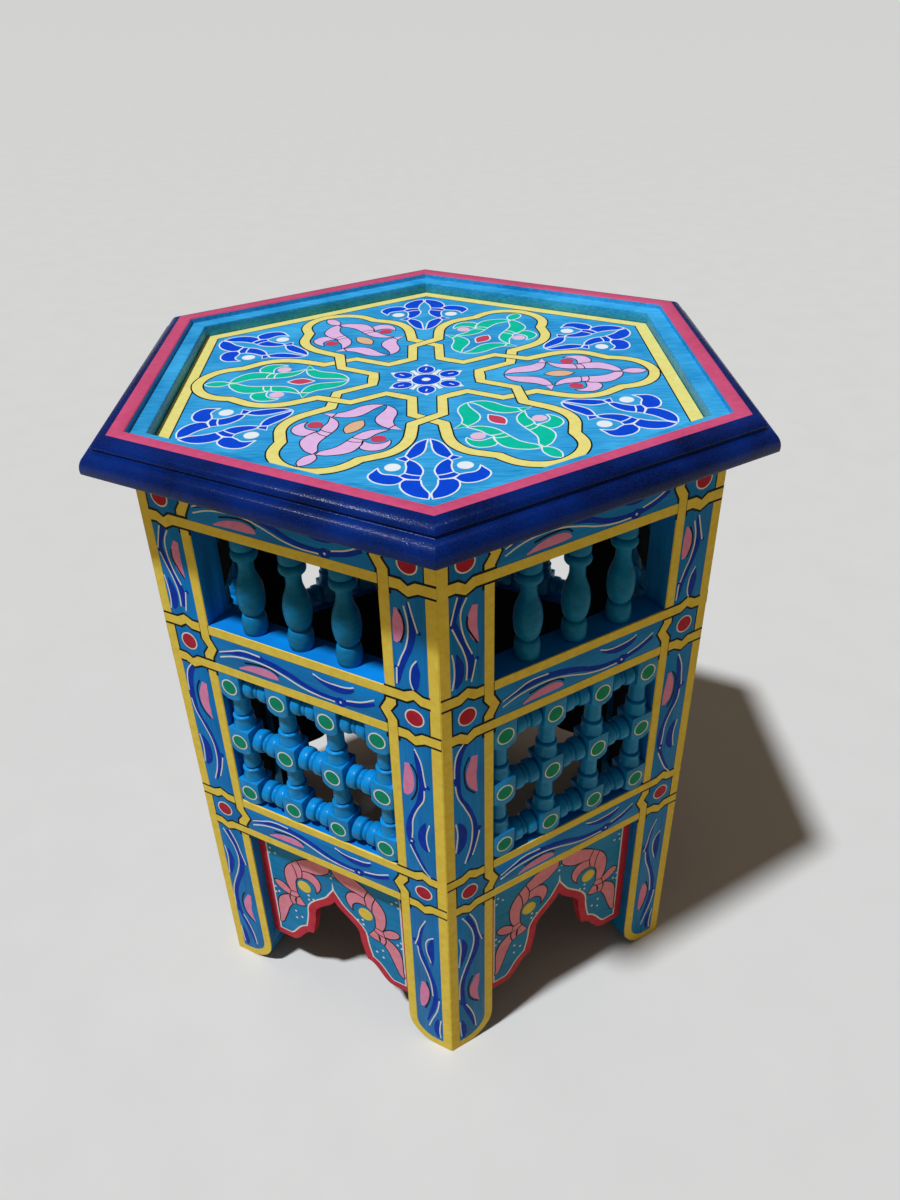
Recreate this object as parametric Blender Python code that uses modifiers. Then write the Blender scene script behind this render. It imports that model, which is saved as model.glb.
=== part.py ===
"""Hexagonal side table of painted wood, modelled piece by piece.

Six corner legs and eighteen rails make a six-sided frame. Each side holds a gallery of three turned
balusters, a lattice of turned bars and blocks, and a cusped apron below the lower rail. A moulded frame
with a sunk panel lies on top. Lengths are metres, +Z is up, and the origin is on the floor under the
middle of the table.
"""

import math

import bmesh
import bpy
from mathutils import Matrix

# Whole table
SIDES = 6
HEIGHT = 0.450              # floor to the rim of the top
BODY_RADIUS = 0.195         # middle of the table to the outer arris of a leg
FIT = 0.0003                # clearance between pieces that touch

# Legs: two boards, mitred and glued along the arris
BOARD = 0.020               # thickness of every leg board and rail
STILE = 0.035               # width of one leg board
FOOT_LAND = 0.001           # flat of the foot beyond the mitre, before the rounding starts

# Rails, and the openings between them
TOP_RAIL = 0.033
MIDDLE_RAIL = 0.034
LOWER_RAIL = 0.034
GALLERY = 0.067             # opening that holds the balusters
LATTICE = 0.113             # opening that holds the lattice
TENON_LENGTH = 0.015
TENON_THICKNESS = 0.008
TENON_SHOULDER = 0.006      # step above and below a tenon

# Balusters
BALUSTERS = 3
BALUSTER_PITCH = 0.0335
DRUM_RADIUS = 0.0068        # plain drum at each end
DRUM_HEIGHT = 0.014
BELLY_RADIUS = 0.0072
NECK_RADIUS = 0.0037
BEAD_RADIUS = 0.0063        # bead under the upper drum
BEAD_HEIGHT = 0.0055
QUIRK_DEPTH = 0.0014        # narrow turned groove beside drum and bead
QUIRK_HEIGHT = 0.0012
VASE_NECK_SHARE = 0.06      # where on one wave of the sine the vase starts, at its neck
VASE_FOOT_SHARE = 0.94      # and where it ends, at its foot
BELLY_LEAN = 2.2            # over 1 the belly sits low on the vase
BELLY_SHARPNESS = 1.4       # over 1 the neck is long and the belly short
SPIGOT_RADIUS = 0.0032
SPIGOT_LENGTH = 0.005
BALUSTER_FACETS = 6

# Lattice
BARS = 4
ROWS = 3
BLOCK = 0.016               # width and depth of a block
BLOCK_HEIGHT = 0.0205
BAR_NECK_RADIUS = 0.0048
BAR_GROOVE_RADIUS = 0.0036
BAR_GROOVE_HEIGHT = 0.0016
COLLAR_RADIUS = 0.0058      # collar that flares to the block below it
COLLAR_HEIGHT = 0.0095
FLARE_RADIUS = 0.0076
LINK_RADIUS = 0.0075        # double bead between two blocks
LINK_GROOVE_RADIUS = 0.0045
LINK_WAIST_RADIUS = 0.0058
PEG = 0.006                 # square peg on each end of a bar
PEG_LENGTH = 0.005
LATTICE_FACETS = 6

# Aprons
APRON_THICKNESS = 0.006
APRON_SETBACK = 0.008       # face of the stiles to face of the apron
APRON_HOUSING = 0.003       # depth of the groove in stiles and rail
APRON_FOOT = 0.0335         # floor to the lowest edge
CUSP_RISE = 0.0185
SHOULDER_RISE = 0.026
APEX_RISE = 0.024
SHOULDER_HALF = 0.0195      # half widths of the arch, from its middle line
CUSP_HALF = 0.024
FOOT_HALF = 0.046
CUSP_SWEEP = 0.45           # roundness of the ogee between cusp and foot, as a share of its width
SHOULDER_EASE = 0.33        # roundness at the shoulder and the cusp, as a share of the rise
CUSP_LEAN = 0.2             # how far the curve leans inwards as it leaves the cusp
APEX_LEAN = 0.17            # the same beside the point of the arch, as a share of the half width

# Top frame and panel
FRAME_THICKNESS = 0.020
OVERHANG = 0.0237           # face of the legs to the widest line of the moulding
MOULDING = 0.0138           # width of the moulded edge outside the rim
RIM = 0.0106
LEDGE = 0.0102              # step inside the rim
LEDGE_DROP = 0.004
RECESS = 0.008              # ledge down to the panel
REBATE = 0.006              # how far the panel runs under the frame
FIELD_RISE = 0.001          # step from the panel's edge, under the frame, up to its open field
RIM_EASE = 0.001
OVOLO = 0.007               # upper round of the moulding
OVOLO_DROP = 0.0065
GROOVE_DEPTH = 0.0012
GROOVE_HEIGHT = 0.0015
TORUS_UNDERCUT = 0.002      # lower round, below the widest line
FILLET = 0.0015
FILLET_INSET = 0.0018

# Places that follow from the sizes
TURN = math.tau / SIDES
HALF_TURN = TURN / 2
APOTHEM = BODY_RADIUS * math.cos(HALF_TURN)
SIDE = 2 * BODY_RADIUS * math.sin(HALF_TURN)
OPENING = SIDE - 2 * STILE
MITRE_REACH = BOARD * math.tan(HALF_TURN)
LEG_TOP = HEIGHT - FRAME_THICKNESS - FIT
TOP_RAIL_Z = LEG_TOP - TOP_RAIL
GALLERY_Z = TOP_RAIL_Z - GALLERY
MIDDLE_RAIL_Z = GALLERY_Z - MIDDLE_RAIL
LATTICE_Z = MIDDLE_RAIL_Z - LATTICE
LOWER_RAIL_Z = LATTICE_Z - LOWER_RAIL
APRON_TOP = LOWER_RAIL_Z + APRON_HOUSING - FIT
PANEL_TOP = HEIGHT - LEDGE_DROP - RECESS
RIM_EDGE = APOTHEM + OVERHANG - MOULDING
SIGHT = RIM_EDGE - RIM - LEDGE
CUT_PAST = 0.002            # how far a cutter runs past the face that it opens

for old in list(bpy.data.objects):
    bpy.data.objects.remove(old)

PARTS = bpy.data.collections.new("hexagonal_side_table")
CUTTERS = bpy.data.collections.new("cutters")
bpy.context.scene.collection.children.link(PARTS)
bpy.context.scene.collection.children.link(CUTTERS)


def paint(name, colour, roughness):
    """A painted wood finish in one plain colour."""
    material = bpy.data.materials.new(name)
    material.use_nodes = True
    shader = material.node_tree.nodes["Principled BSDF"]
    shader.inputs["Base Color"].default_value = (*colour, 1.0)
    shader.inputs["Roughness"].default_value = roughness
    shader.inputs["Metallic"].default_value = 0.0
    return material


def take_mesh(obj):
    """The evaluated shape of a working object, with its seams welded. The object is removed."""
    graph = bpy.context.evaluated_depsgraph_get()
    mesh = bpy.data.meshes.new_from_object(obj.evaluated_get(graph))
    bm = bmesh.new()
    bm.from_mesh(mesh)
    bmesh.ops.remove_doubles(bm, verts=bm.verts, dist=1e-6)
    bm.to_mesh(mesh)
    bm.free()
    bpy.data.objects.remove(obj)
    return mesh


def box(low, high):
    """A box mesh between two corners."""
    size = [b - a for a, b in zip(low, high)]
    middle = [(a + b) / 2 for a, b in zip(low, high)]
    mesh = bpy.data.meshes.new("box")
    bm = bmesh.new()
    bmesh.ops.create_cube(bm, size=1.0, matrix=Matrix.Translation(middle) @ Matrix.Diagonal((*size, 1.0)))
    bm.to_mesh(mesh)
    bm.free()
    return mesh


def side_box(u, depth, z):
    """A box in a side's frame: u runs along the side, depth runs inwards from its face."""
    return box((u[0], depth[0] - APOTHEM, z[0]), (u[1], depth[1] - APOTHEM, z[1]))


def slab(spline_type, points, thickness):
    """A flat outline given a thickness, lying in the XY plane and centred on it.

    A POLY outline is a list of corners. A BEZIER outline is a list of (corner, handle before, handle
    after), where a handle is None along a straight edge.
    """
    curve = bpy.data.curves.new("outline", "CURVE")
    curve.dimensions = "2D"
    curve.fill_mode = "BOTH"
    curve.extrude = thickness / 2
    curve.resolution_u = 3
    spline = curve.splines.new(spline_type)
    spline.use_cyclic_u = True
    if spline_type == "POLY":
        spline.points.add(len(points) - 1)
        for knot, (x, y) in zip(spline.points, points):
            knot.co = (x, y, 0.0, 1.0)
    else:
        spline.bezier_points.add(len(points) - 1)
        for knot, (corner, before, after) in zip(spline.bezier_points, points):
            knot.co = (*corner, 0.0)
            knot.handle_left_type = "FREE" if before else "VECTOR"
            knot.handle_right_type = "FREE" if after else "VECTOR"
            if before:
                knot.handle_left = (*before, 0.0)
            if after:
                knot.handle_right = (*after, 0.0)
    obj = bpy.data.objects.new("outline", curve)
    CUTTERS.objects.link(obj)
    bpy.context.view_layer.update()
    return take_mesh(obj)


def turned(profile, facets, closed=False):
    """A profile of (radius, height) corners turned about Z. It runs down the outer side."""
    edges = [(i, i + 1) for i in range(len(profile) - 1)]
    if closed:
        edges.append((len(profile) - 1, 0))
    mesh = bpy.data.meshes.new("profile")
    mesh.from_pydata([(r, 0.0, z) for r, z in profile], edges, [])
    obj = bpy.data.objects.new("profile", mesh)
    CUTTERS.objects.link(obj)
    screw = obj.modifiers.new("turn", "SCREW")
    screw.axis = "Z"
    screw.steps = facets
    screw.render_steps = facets
    screw.use_merge_vertices = True
    screw.merge_threshold = 0.00001
    return take_mesh(obj)


def combine(mesh, others, operation):
    """Cut other meshes out of a mesh, or join them to it, with one Boolean."""
    group = bpy.data.collections.new("tools")
    CUTTERS.children.link(group)
    for number, other in enumerate(others):
        tool = bpy.data.objects.new(f"tool_{number}", other)
        tool.display_type = "WIRE"
        tool.hide_render = True
        group.objects.link(tool)
    work = bpy.data.objects.new("work", mesh)
    CUTTERS.objects.link(work)
    boolean = work.modifiers.new("tools", "BOOLEAN")
    boolean.operation = operation
    boolean.operand_type = "COLLECTION"
    boolean.collection = group
    boolean.solver = "EXACT"
    bpy.context.view_layer.update()
    return take_mesh(work)


def moved(mesh, matrix):
    """A copy of a mesh, moved or turned."""
    copy = mesh.copy()
    copy.transform(matrix)
    return copy


def place(name, mesh, material, parent, location=(0.0, 0.0, 0.0)):
    """Make a finished piece of the table from a mesh."""
    if not mesh.materials:
        mesh.materials.append(material)
    obj = bpy.data.objects.new(name, mesh)
    PARTS.objects.link(obj)
    obj.parent = parent
    obj.location = location
    return obj


def empty(name, angle):
    """A frame turned about the middle of the table."""
    obj = bpy.data.objects.new(name, None)
    PARTS.objects.link(obj)
    obj.rotation_euler = (0.0, 0.0, angle)
    return obj


def rail_mesh(z, height, holes):
    """A rail with a tenon on each end, and with sockets cut by the given meshes."""
    half = OPENING / 2 - FIT
    middle = BOARD / 2
    body = side_box((-half, half), (0.0, BOARD), (z, z + height))
    tenon = side_box(
        (-half - TENON_LENGTH, half + TENON_LENGTH),
        (middle - TENON_THICKNESS / 2, middle + TENON_THICKNESS / 2),
        (z + TENON_SHOULDER, z + height - TENON_SHOULDER),
    )
    return combine(combine(body, [tenon], "UNION"), holes, "DIFFERENCE")


def mortise(z, height):
    """The space that a rail's tenon takes in the leg board at the left end of a side."""
    edge = -OPENING / 2
    middle = BOARD / 2
    reach = TENON_THICKNESS / 2 + FIT
    return side_box(
        (edge - TENON_LENGTH - FIT, edge + CUT_PAST),
        (middle - reach, middle + reach),
        (z + TENON_SHOULDER - FIT, z + height - TENON_SHOULDER + FIT),
    )


def foot_rounding():
    """What is cut from the foot of the leg board at the left end of a side."""
    edge = -OPENING / 2
    start = MITRE_REACH + FOOT_LAND - SIDE / 2
    radius = edge - start
    steps = 4
    arc = []
    for step in range(steps + 1):
        angle = math.radians(90) * step / steps
        arc.append((start + radius * math.sin(angle), radius - radius * math.cos(angle)))
    past = [(edge + CUT_PAST, radius), (edge + CUT_PAST, -CUT_PAST), (start, -CUT_PAST)]
    outline = slab("POLY", arc + past, BOARD + 2 * CUT_PAST)
    lift = Matrix.Translation((0.0, BOARD / 2 - APOTHEM, 0.0)) @ Matrix.Rotation(math.radians(90), 4, "X")
    return moved(outline, lift)


def leg_mesh():
    """A leg at the front corner: a V of two boards, with mortises, apron grooves and rounded feet."""
    corner = (0.0, -BODY_RADIUS)
    along = (math.cos(HALF_TURN), math.sin(HALF_TURN))
    inward = (-math.sin(HALF_TURN), math.cos(HALF_TURN))
    edge = (STILE * along[0], corner[1] + STILE * along[1])
    back = (edge[0] + BOARD * inward[0], edge[1] + BOARD * inward[1])
    inside = (0.0, corner[1] + BOARD / math.cos(HALF_TURN))
    outline = [corner, edge, back, inside, (-back[0], back[1]), (-edge[0], edge[1])]
    solid = moved(slab("POLY", outline, LEG_TOP), Matrix.Translation((0.0, 0.0, LEG_TOP / 2)))
    groove = side_box(
        (-OPENING / 2 - APRON_HOUSING, -OPENING / 2 + CUT_PAST),
        (APRON_SETBACK - FIT, APRON_SETBACK + APRON_THICKNESS + FIT),
        (APRON_FOOT - FIT, APRON_TOP + FIT),
    )
    cuts = [
        mortise(TOP_RAIL_Z, TOP_RAIL),
        mortise(MIDDLE_RAIL_Z, MIDDLE_RAIL),
        mortise(LOWER_RAIL_Z, LOWER_RAIL),
        groove,
        foot_rounding(),
    ]
    to_right = Matrix.Rotation(HALF_TURN, 4, "Z")
    mirror = Matrix.Diagonal((-1.0, 1.0, 1.0, 1.0))
    both = []
    for cutter in cuts:
        right = moved(cutter, to_right)
        left = moved(right, mirror)
        left.flip_normals()
        both += [right, left]
    return combine(solid, both, "DIFFERENCE")


def baluster_places():
    """Where the balusters stand along a side."""
    return [(i - (BALUSTERS - 1) / 2) * BALUSTER_PITCH for i in range(BALUSTERS)]


def baluster_mesh():
    """A turned baluster: two end drums, a vase between them, a bead, and a spigot at each end."""
    low = FIT
    high = GALLERY - FIT
    vase_low = low + DRUM_HEIGHT + QUIRK_HEIGHT
    bead_high = high - DRUM_HEIGHT - QUIRK_HEIGHT
    vase_high = bead_high - BEAD_HEIGHT
    quirk = DRUM_RADIUS - QUIRK_DEPTH
    profile = [(0.0, high + SPIGOT_LENGTH), (SPIGOT_RADIUS, high + SPIGOT_LENGTH), (SPIGOT_RADIUS, high)]
    profile += [(DRUM_RADIUS, high), (DRUM_RADIUS, high - DRUM_HEIGHT), (quirk, bead_high)]
    profile += [(BEAD_RADIUS, bead_high - BEAD_HEIGHT / 2)]
    steps = 4
    for step in range(steps + 1):
        along = step / steps
        share = VASE_NECK_SHARE + (VASE_FOOT_SHARE - VASE_NECK_SHARE) * along
        swell = math.sin(math.pi * share ** BELLY_LEAN) ** BELLY_SHARPNESS
        profile.append((
            NECK_RADIUS + (BELLY_RADIUS - NECK_RADIUS) * swell,
            vase_high + (vase_low - vase_high) * along,
        ))
    profile += [(DRUM_RADIUS, low + DRUM_HEIGHT), (DRUM_RADIUS, low)]
    profile += [(SPIGOT_RADIUS, low), (SPIGOT_RADIUS, low - SPIGOT_LENGTH), (0.0, low - SPIGOT_LENGTH)]
    mesh = turned(profile, BALUSTER_FACETS)
    mesh.shade_smooth()
    mesh.set_sharp_from_angle(angle=math.radians(50))
    return mesh


def spigot_hole(u, mouth, direction):
    """A socket for a baluster's spigot, opening at height mouth and running up (1) or down (-1)."""
    radius = SPIGOT_RADIUS + FIT / math.cos(math.pi / BALUSTER_FACETS)
    end = mouth + direction * (SPIGOT_LENGTH + FIT)
    start = mouth - direction * CUT_PAST
    low, high = sorted((start, end))
    hole = turned([(0.0, high), (radius, high), (radius, low), (0.0, low)], BALUSTER_FACETS)
    return moved(hole, Matrix.Translation((u, BOARD / 2 - APOTHEM, 0.0)))


BAR_PITCH = (OPENING - 2 * FIT - BLOCK) / (BARS - 1)
ROW_PITCH = (LATTICE - 2 * FIT - BLOCK_HEIGHT) / (ROWS - 1)
BLOCK_DEPTH = BLOCK / 2     # depth of a bar's axis, its blocks flush with the stiles


def bar_places():
    """Where the bars of the lattice stand along a side."""
    return [(i - (BARS - 1) / 2) * BAR_PITCH for i in range(BARS)]


def row_heights():
    """Heights of the block centres, counted from the foot of the lattice."""
    return [FIT + BLOCK_HEIGHT / 2 + row * ROW_PITCH for row in range(ROWS)]


def lattice_mesh():
    """Turned bars of blocks and necks, tied by double beads between the blocks, with pegs at the ends."""
    root = BLOCK / 4        # how far a turned stretch runs into its block, where it is one wood
    neck_high = ROW_PITCH - BLOCK_HEIGHT
    groove = COLLAR_HEIGHT + BAR_GROOVE_HEIGHT
    upright = [(0.0, neck_high + root), (BAR_NECK_RADIUS, neck_high + root), (BAR_GROOVE_RADIUS, groove)]
    upright += [(COLLAR_RADIUS, COLLAR_HEIGHT), (FLARE_RADIUS, 0.0), (FLARE_RADIUS, -root), (0.0, -root)]
    neck = turned(upright, LATTICE_FACETS)
    half = (BAR_PITCH - BLOCK) / 2
    cross = [(0.0, half + root), (LINK_GROOVE_RADIUS, half + root), (LINK_GROOVE_RADIUS, half)]
    cross += [(LINK_RADIUS, half / 2), (LINK_WAIST_RADIUS, 0.0)]
    cross += [(r, -z) for r, z in reversed(cross[:-1])]
    link = moved(turned(cross, LATTICE_FACETS), Matrix.Rotation(math.radians(90), 4, "Y"))
    base = Matrix.Translation((0.0, BLOCK_DEPTH - APOTHEM, LATTICE_Z))
    block = box((-BLOCK / 2, -BLOCK / 2, -BLOCK_HEIGHT / 2), (BLOCK / 2, BLOCK / 2, BLOCK_HEIGHT / 2))
    peg_low = box((-PEG / 2, -PEG / 2, FIT - PEG_LENGTH), (PEG / 2, PEG / 2, FIT + root))
    peg_high = moved(peg_low, Matrix.Translation((0.0, 0.0, LATTICE)) @ Matrix.Rotation(math.pi, 4, "X"))
    pieces = []
    for u in bar_places():
        at_bar = base @ Matrix.Translation((u, 0.0, 0.0))
        pieces += [moved(peg_low, at_bar), moved(peg_high, at_bar)]
        for row, z in enumerate(row_heights()):
            at_block = at_bar @ Matrix.Translation((0.0, 0.0, z))
            pieces.append(moved(block, at_block))
            if row < ROWS - 1:
                pieces.append(moved(neck, at_block @ Matrix.Translation((0.0, 0.0, BLOCK_HEIGHT / 2))))
            if u < bar_places()[-1]:
                pieces.append(moved(link, at_block @ Matrix.Translation((BAR_PITCH / 2, 0.0, 0.0))))
    return combine(pieces[0], pieces[1:], "UNION")


def peg_hole(u, mouth, direction):
    """A square socket for a peg of the lattice, opening at height mouth."""
    reach = PEG / 2 + FIT
    ends = sorted((mouth - direction * CUT_PAST, mouth + direction * (PEG_LENGTH + FIT)))
    return side_box((u - reach, u + reach), (BLOCK_DEPTH - reach, BLOCK_DEPTH + reach), ends)


def apron_mesh():
    """A cusped ogee arch, cut from a thin board that is housed in the stiles and the lower rail."""
    cusp = APRON_FOOT + CUSP_RISE
    shoulder = cusp + SHOULDER_RISE
    apex = shoulder + APEX_RISE
    end = OPENING / 2 + APRON_HOUSING - FIT
    ease = SHOULDER_RISE * SHOULDER_EASE
    sweep = (FOOT_HALF - CUSP_HALF) * CUSP_SWEEP
    right = [
        ((SHOULDER_HALF, shoulder), (SHOULDER_HALF, shoulder + ease), (SHOULDER_HALF, shoulder - ease)),
        ((CUSP_HALF, cusp), (CUSP_HALF - ease * CUSP_LEAN, cusp + ease), (CUSP_HALF + sweep, cusp)),
        ((FOOT_HALF, APRON_FOOT), (FOOT_HALF - sweep, APRON_FOOT), None),
        ((end, APRON_FOOT), None, None),
        ((end, APRON_TOP), None, None),
    ]
    tip = (SHOULDER_HALF * APEX_LEAN, apex - APEX_RISE * SHOULDER_EASE)
    left = []
    for (x, y), before, after in reversed(right):
        left.append(((-x, y), after and (-after[0], after[1]), before and (-before[0], before[1])))
    outline = [((0.0, apex), (-tip[0], tip[1]), tip)] + right + left
    board = slab("BEZIER", outline, APRON_THICKNESS)
    depth = APRON_SETBACK + APRON_THICKNESS / 2
    lift = Matrix.Translation((0.0, depth - APOTHEM, 0.0)) @ Matrix.Rotation(math.radians(90), 4, "X")
    return moved(board, lift)


def frame_mesh():
    """Six lengths of one moulding, mitred and glued: the section turned in as many steps as sides."""
    crest = HEIGHT - RIM_EASE
    groove = crest - OVOLO_DROP
    torus_high = groove - GROOVE_HEIGHT
    foot = HEIGHT - FRAME_THICKNESS
    widest = foot + FILLET + TORUS_UNDERCUT
    torus_in = RIM_EDGE + OVOLO - GROOVE_DEPTH
    torus_out = RIM_EDGE + MOULDING
    lip = PANEL_TOP - FIELD_RISE + FIT
    section = [(RIM_EDGE - RIM, HEIGHT), (RIM_EDGE - RIM_EASE, HEIGHT)]
    steps = 4
    for step in range(steps + 1):
        angle = math.radians(90) * step / steps
        section.append((RIM_EDGE + OVOLO * math.sin(angle), groove + OVOLO_DROP * math.cos(angle)))
    section.append((torus_in, groove))
    for step in range(steps + 1):
        angle = math.radians(90) * step / steps
        section.append((
            torus_in + (torus_out - torus_in) * math.sin(angle),
            widest + (torus_high - widest) * math.cos(angle),
        ))
    section += [(torus_out - FILLET_INSET / 2, foot + FILLET), (torus_out - FILLET_INSET, foot + FILLET)]
    section += [(torus_out - FILLET_INSET, foot), (SIGHT + REBATE, foot), (SIGHT + REBATE, lip)]
    section += [(SIGHT, lip), (SIGHT, HEIGHT - LEDGE_DROP), (RIM_EDGE - RIM, HEIGHT - LEDGE_DROP)]
    corners = [(apothem / math.cos(HALF_TURN), z) for apothem, z in section]
    return turned(corners, SIDES, closed=True)


def panel_mesh():
    """The panel: its edge is held in the frame's rebate, and its raised field fills the frame."""
    field = (SIGHT - FIT) / math.cos(HALF_TURN)
    edge = (SIGHT + REBATE - FIT) / math.cos(HALF_TURN)
    step = PANEL_TOP - FIELD_RISE
    foot = HEIGHT - FRAME_THICKNESS
    section = [(0.0, PANEL_TOP), (field, PANEL_TOP), (field, step), (edge, step), (edge, foot), (0.0, foot)]
    return turned(section, SIDES)


def build_table():
    """Model each kind of piece once, and place a copy of it at every corner or side."""
    turquoise = paint("turquoise_paint", (0.025, 0.26, 0.55), 0.42)
    lattice_blue = paint("lattice_paint", (0.02, 0.27, 0.58), 0.4)
    apron_blue = paint("apron_paint", (0.02, 0.17, 0.32), 0.45)
    navy = paint("navy_gloss_paint", (0.008, 0.025, 0.17), 0.22)
    panel_yellow = paint("panel_paint", (0.75, 0.6, 0.18), 0.4)

    balusters = baluster_places()
    bars = bar_places()
    apron_groove = side_box(
        (-OPENING / 2 - TENON_LENGTH, OPENING / 2 + TENON_LENGTH),
        (APRON_SETBACK - FIT, APRON_SETBACK + APRON_THICKNESS + FIT),
        (LOWER_RAIL_Z - CUT_PAST, APRON_TOP + FIT),
    )
    top_holes = [spigot_hole(u, TOP_RAIL_Z, 1) for u in balusters]
    middle_holes = [spigot_hole(u, GALLERY_Z, -1) for u in balusters]
    middle_holes += [peg_hole(u, MIDDLE_RAIL_Z, 1) for u in bars]
    lower_holes = [peg_hole(u, LATTICE_Z, -1) for u in bars] + [apron_groove]

    leg = leg_mesh()
    rails = {
        "top_rail": rail_mesh(TOP_RAIL_Z, TOP_RAIL, top_holes),
        "middle_rail": rail_mesh(MIDDLE_RAIL_Z, MIDDLE_RAIL, middle_holes),
        "lower_rail": rail_mesh(LOWER_RAIL_Z, LOWER_RAIL, lower_holes),
    }
    baluster = baluster_mesh()
    lattice = lattice_mesh()
    apron = apron_mesh()

    for number in range(SIDES):
        tag = number + 1
        corner = empty(f"corner_{tag}_frame", number * TURN)
        side = empty(f"side_{tag}_frame", number * TURN + HALF_TURN)
        place(f"leg_{tag}", leg, turquoise, corner)
        for name, rail in rails.items():
            place(f"{name}_{tag}", rail, turquoise, side)
        for count, u in enumerate(balusters):
            at = (u, BOARD / 2 - APOTHEM, GALLERY_Z)
            place(f"baluster_{tag}_{count + 1}", baluster, turquoise, side, at)
        place(f"lattice_{tag}", lattice, lattice_blue, side)
        place(f"apron_{tag}", apron, apron_blue, side)

    top = empty("top", HALF_TURN)
    place("top_frame", frame_mesh(), navy, top)
    place("top_panel", panel_mesh(), panel_yellow, top)


build_table()
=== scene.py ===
import math

import bmesh
import bpy
from mathutils import Matrix, Vector, geometry, noise


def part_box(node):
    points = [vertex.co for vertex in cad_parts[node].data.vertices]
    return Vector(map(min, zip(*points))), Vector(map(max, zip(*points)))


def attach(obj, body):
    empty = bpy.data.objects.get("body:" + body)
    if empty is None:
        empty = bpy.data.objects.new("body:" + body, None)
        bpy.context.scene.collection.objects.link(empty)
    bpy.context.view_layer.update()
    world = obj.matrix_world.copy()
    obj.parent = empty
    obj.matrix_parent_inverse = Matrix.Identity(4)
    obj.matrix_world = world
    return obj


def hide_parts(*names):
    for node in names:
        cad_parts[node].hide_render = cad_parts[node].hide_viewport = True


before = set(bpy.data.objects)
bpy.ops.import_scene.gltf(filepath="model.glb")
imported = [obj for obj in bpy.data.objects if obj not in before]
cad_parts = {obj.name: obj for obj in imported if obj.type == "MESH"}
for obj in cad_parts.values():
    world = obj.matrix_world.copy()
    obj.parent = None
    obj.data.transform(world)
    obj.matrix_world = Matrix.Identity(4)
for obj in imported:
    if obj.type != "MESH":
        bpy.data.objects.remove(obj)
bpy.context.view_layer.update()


# Legs: six corner posts of softwood, each of two boards mitred and glued along the arris.
# The foot of each board is sawn to a quarter round. Its outer faces are brushed with turquoise oil enamel,
# the faces inside the table take a dark painted shade, and the painter's yellow line is carried round the
# eased edges.
TURN = math.radians(60)
body_radius = -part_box("leg_1")[0][1]
face_apothem = body_radius * math.cos(TURN / 2)
leg_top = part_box("leg_1")[1][2]
edge_round = 0.0006
# Points nearer than weld are one point, and a point within slack of a face or a line lies on it.
weld = 0.000005
slack = 0.00002
# The paints mirror less than glass does, so that a side seen at a slant isn't veiled.
enamel_ior = 1.18
paint_ior = 1.14
paint_rough = 0.42
board_rough = 0.4
board_ridge = 0.00006


def linear(code):
    """An sRGB hex colour as the linear colour that a shader takes."""
    parts = [int(code[i:i + 2], 16) / 255 for i in (1, 3, 5)]
    return [p / 12.92 if p <= 0.04045 else ((p + 0.055) / 1.055) ** 2.4 for p in parts] + [1]


def add(tree, kind, sockets=None, **settings):
    """Adds a node. A socket takes a number, a colour, or the output that feeds it."""
    node = tree.nodes.new(kind)
    for name, value in settings.items():
        setattr(node, name, value)
    for socket, value in (sockets or {}).items():
        if isinstance(value, bpy.types.NodeSocket):
            tree.links.new(value, node.inputs[socket])
        else:
            node.inputs[socket].default_value = value
    return node


def blank(name):
    """A new material, and its node tree with nothing in it."""
    material = bpy.data.materials.new(name)
    material.use_nodes = True
    material.node_tree.nodes.clear()
    return material, material.node_tree


def grain(tree, place, size, detail, **more):
    """Noise whose grains are of this size, in metres."""
    sockets = {"Vector": place, "Scale": 1 / size, "Detail": detail, **more}
    return add(tree, "ShaderNodeTexNoise", sockets).outputs["Fac"]


def drawn_out(tree, value, low, high, start=0, stop=1):
    """The part of a value between low and high, drawn out to run from start to stop."""
    sockets = {"Value": value, "From Min": low, "From Max": high, "To Min": start, "To Max": stop}
    return add(tree, "ShaderNodeMapRange", sockets).outputs["Result"]


def blended(tree, share, first, second):
    """Two values, with this share of the second."""
    return add(tree, "ShaderNodeMix", {"Factor": share, "A": first, "B": second}).outputs["Result"]


def tinted(tree, share, first, second):
    """Two colours, with this share of the second."""
    return add(tree, "ShaderNodeMix", {"Factor": share, 6: first, 7: second}, data_type="RGBA").outputs[2]


def ridged(tree, height, depth):
    """The normals of a surface with ridges of this depth, in metres."""
    sockets = {"Height": height, "Distance": depth, "Strength": 1}
    return add(tree, "ShaderNodeBump", sockets).outputs["Normal"]


def surface(tree, sockets):
    """Ends a tree with a surface of these settings."""
    shader = add(tree, "ShaderNodeBsdfPrincipled", sockets)
    add(tree, "ShaderNodeOutputMaterial", {"Surface": shader.outputs["BSDF"]})


def brushed_enamel(name, full, thin, stretch, rough, ridge, gloss=0):
    """Oil enamel brushed by hand on sawn wood: long bristle marks along the stroke, the wood's pores
    under them, and patches a hand wide where the coat is thin and the colour deeper. Gloss is how much
    clear varnish lies over it."""
    material, tree = blank(name)
    place = add(tree, "ShaderNodeTexCoord").outputs["Object"]
    stroke = add(tree, "ShaderNodeMapping", {"Vector": place, "Scale": stretch}).outputs[0]
    # Bristle marks 1.6 mm apart, patches 35 mm across, pores 0.5 mm, drawn a little coarser than real.
    bristle = grain(tree, stroke, 0.0016, 3)
    patch = grain(tree, place, 0.035, 2)
    pore = grain(tree, place, 0.0005, 1)
    cover = drawn_out(tree, blended(tree, 0.5, bristle, patch), 0.34, 0.66)
    colour = tinted(tree, cover, linear(thin), linear(full))
    sheen = drawn_out(tree, bristle, 0.3, 0.7, rough + 0.08, rough - 0.08)
    bump = ridged(tree, blended(tree, 0.3, bristle, pore), ridge)
    surface(tree, {"Base Color": colour, "IOR": enamel_ior, "Roughness": sheen, "Normal": bump,
                   "Coat Weight": gloss, "Coat Roughness": 0.14, "Coat Normal": bump})
    return material


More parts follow.
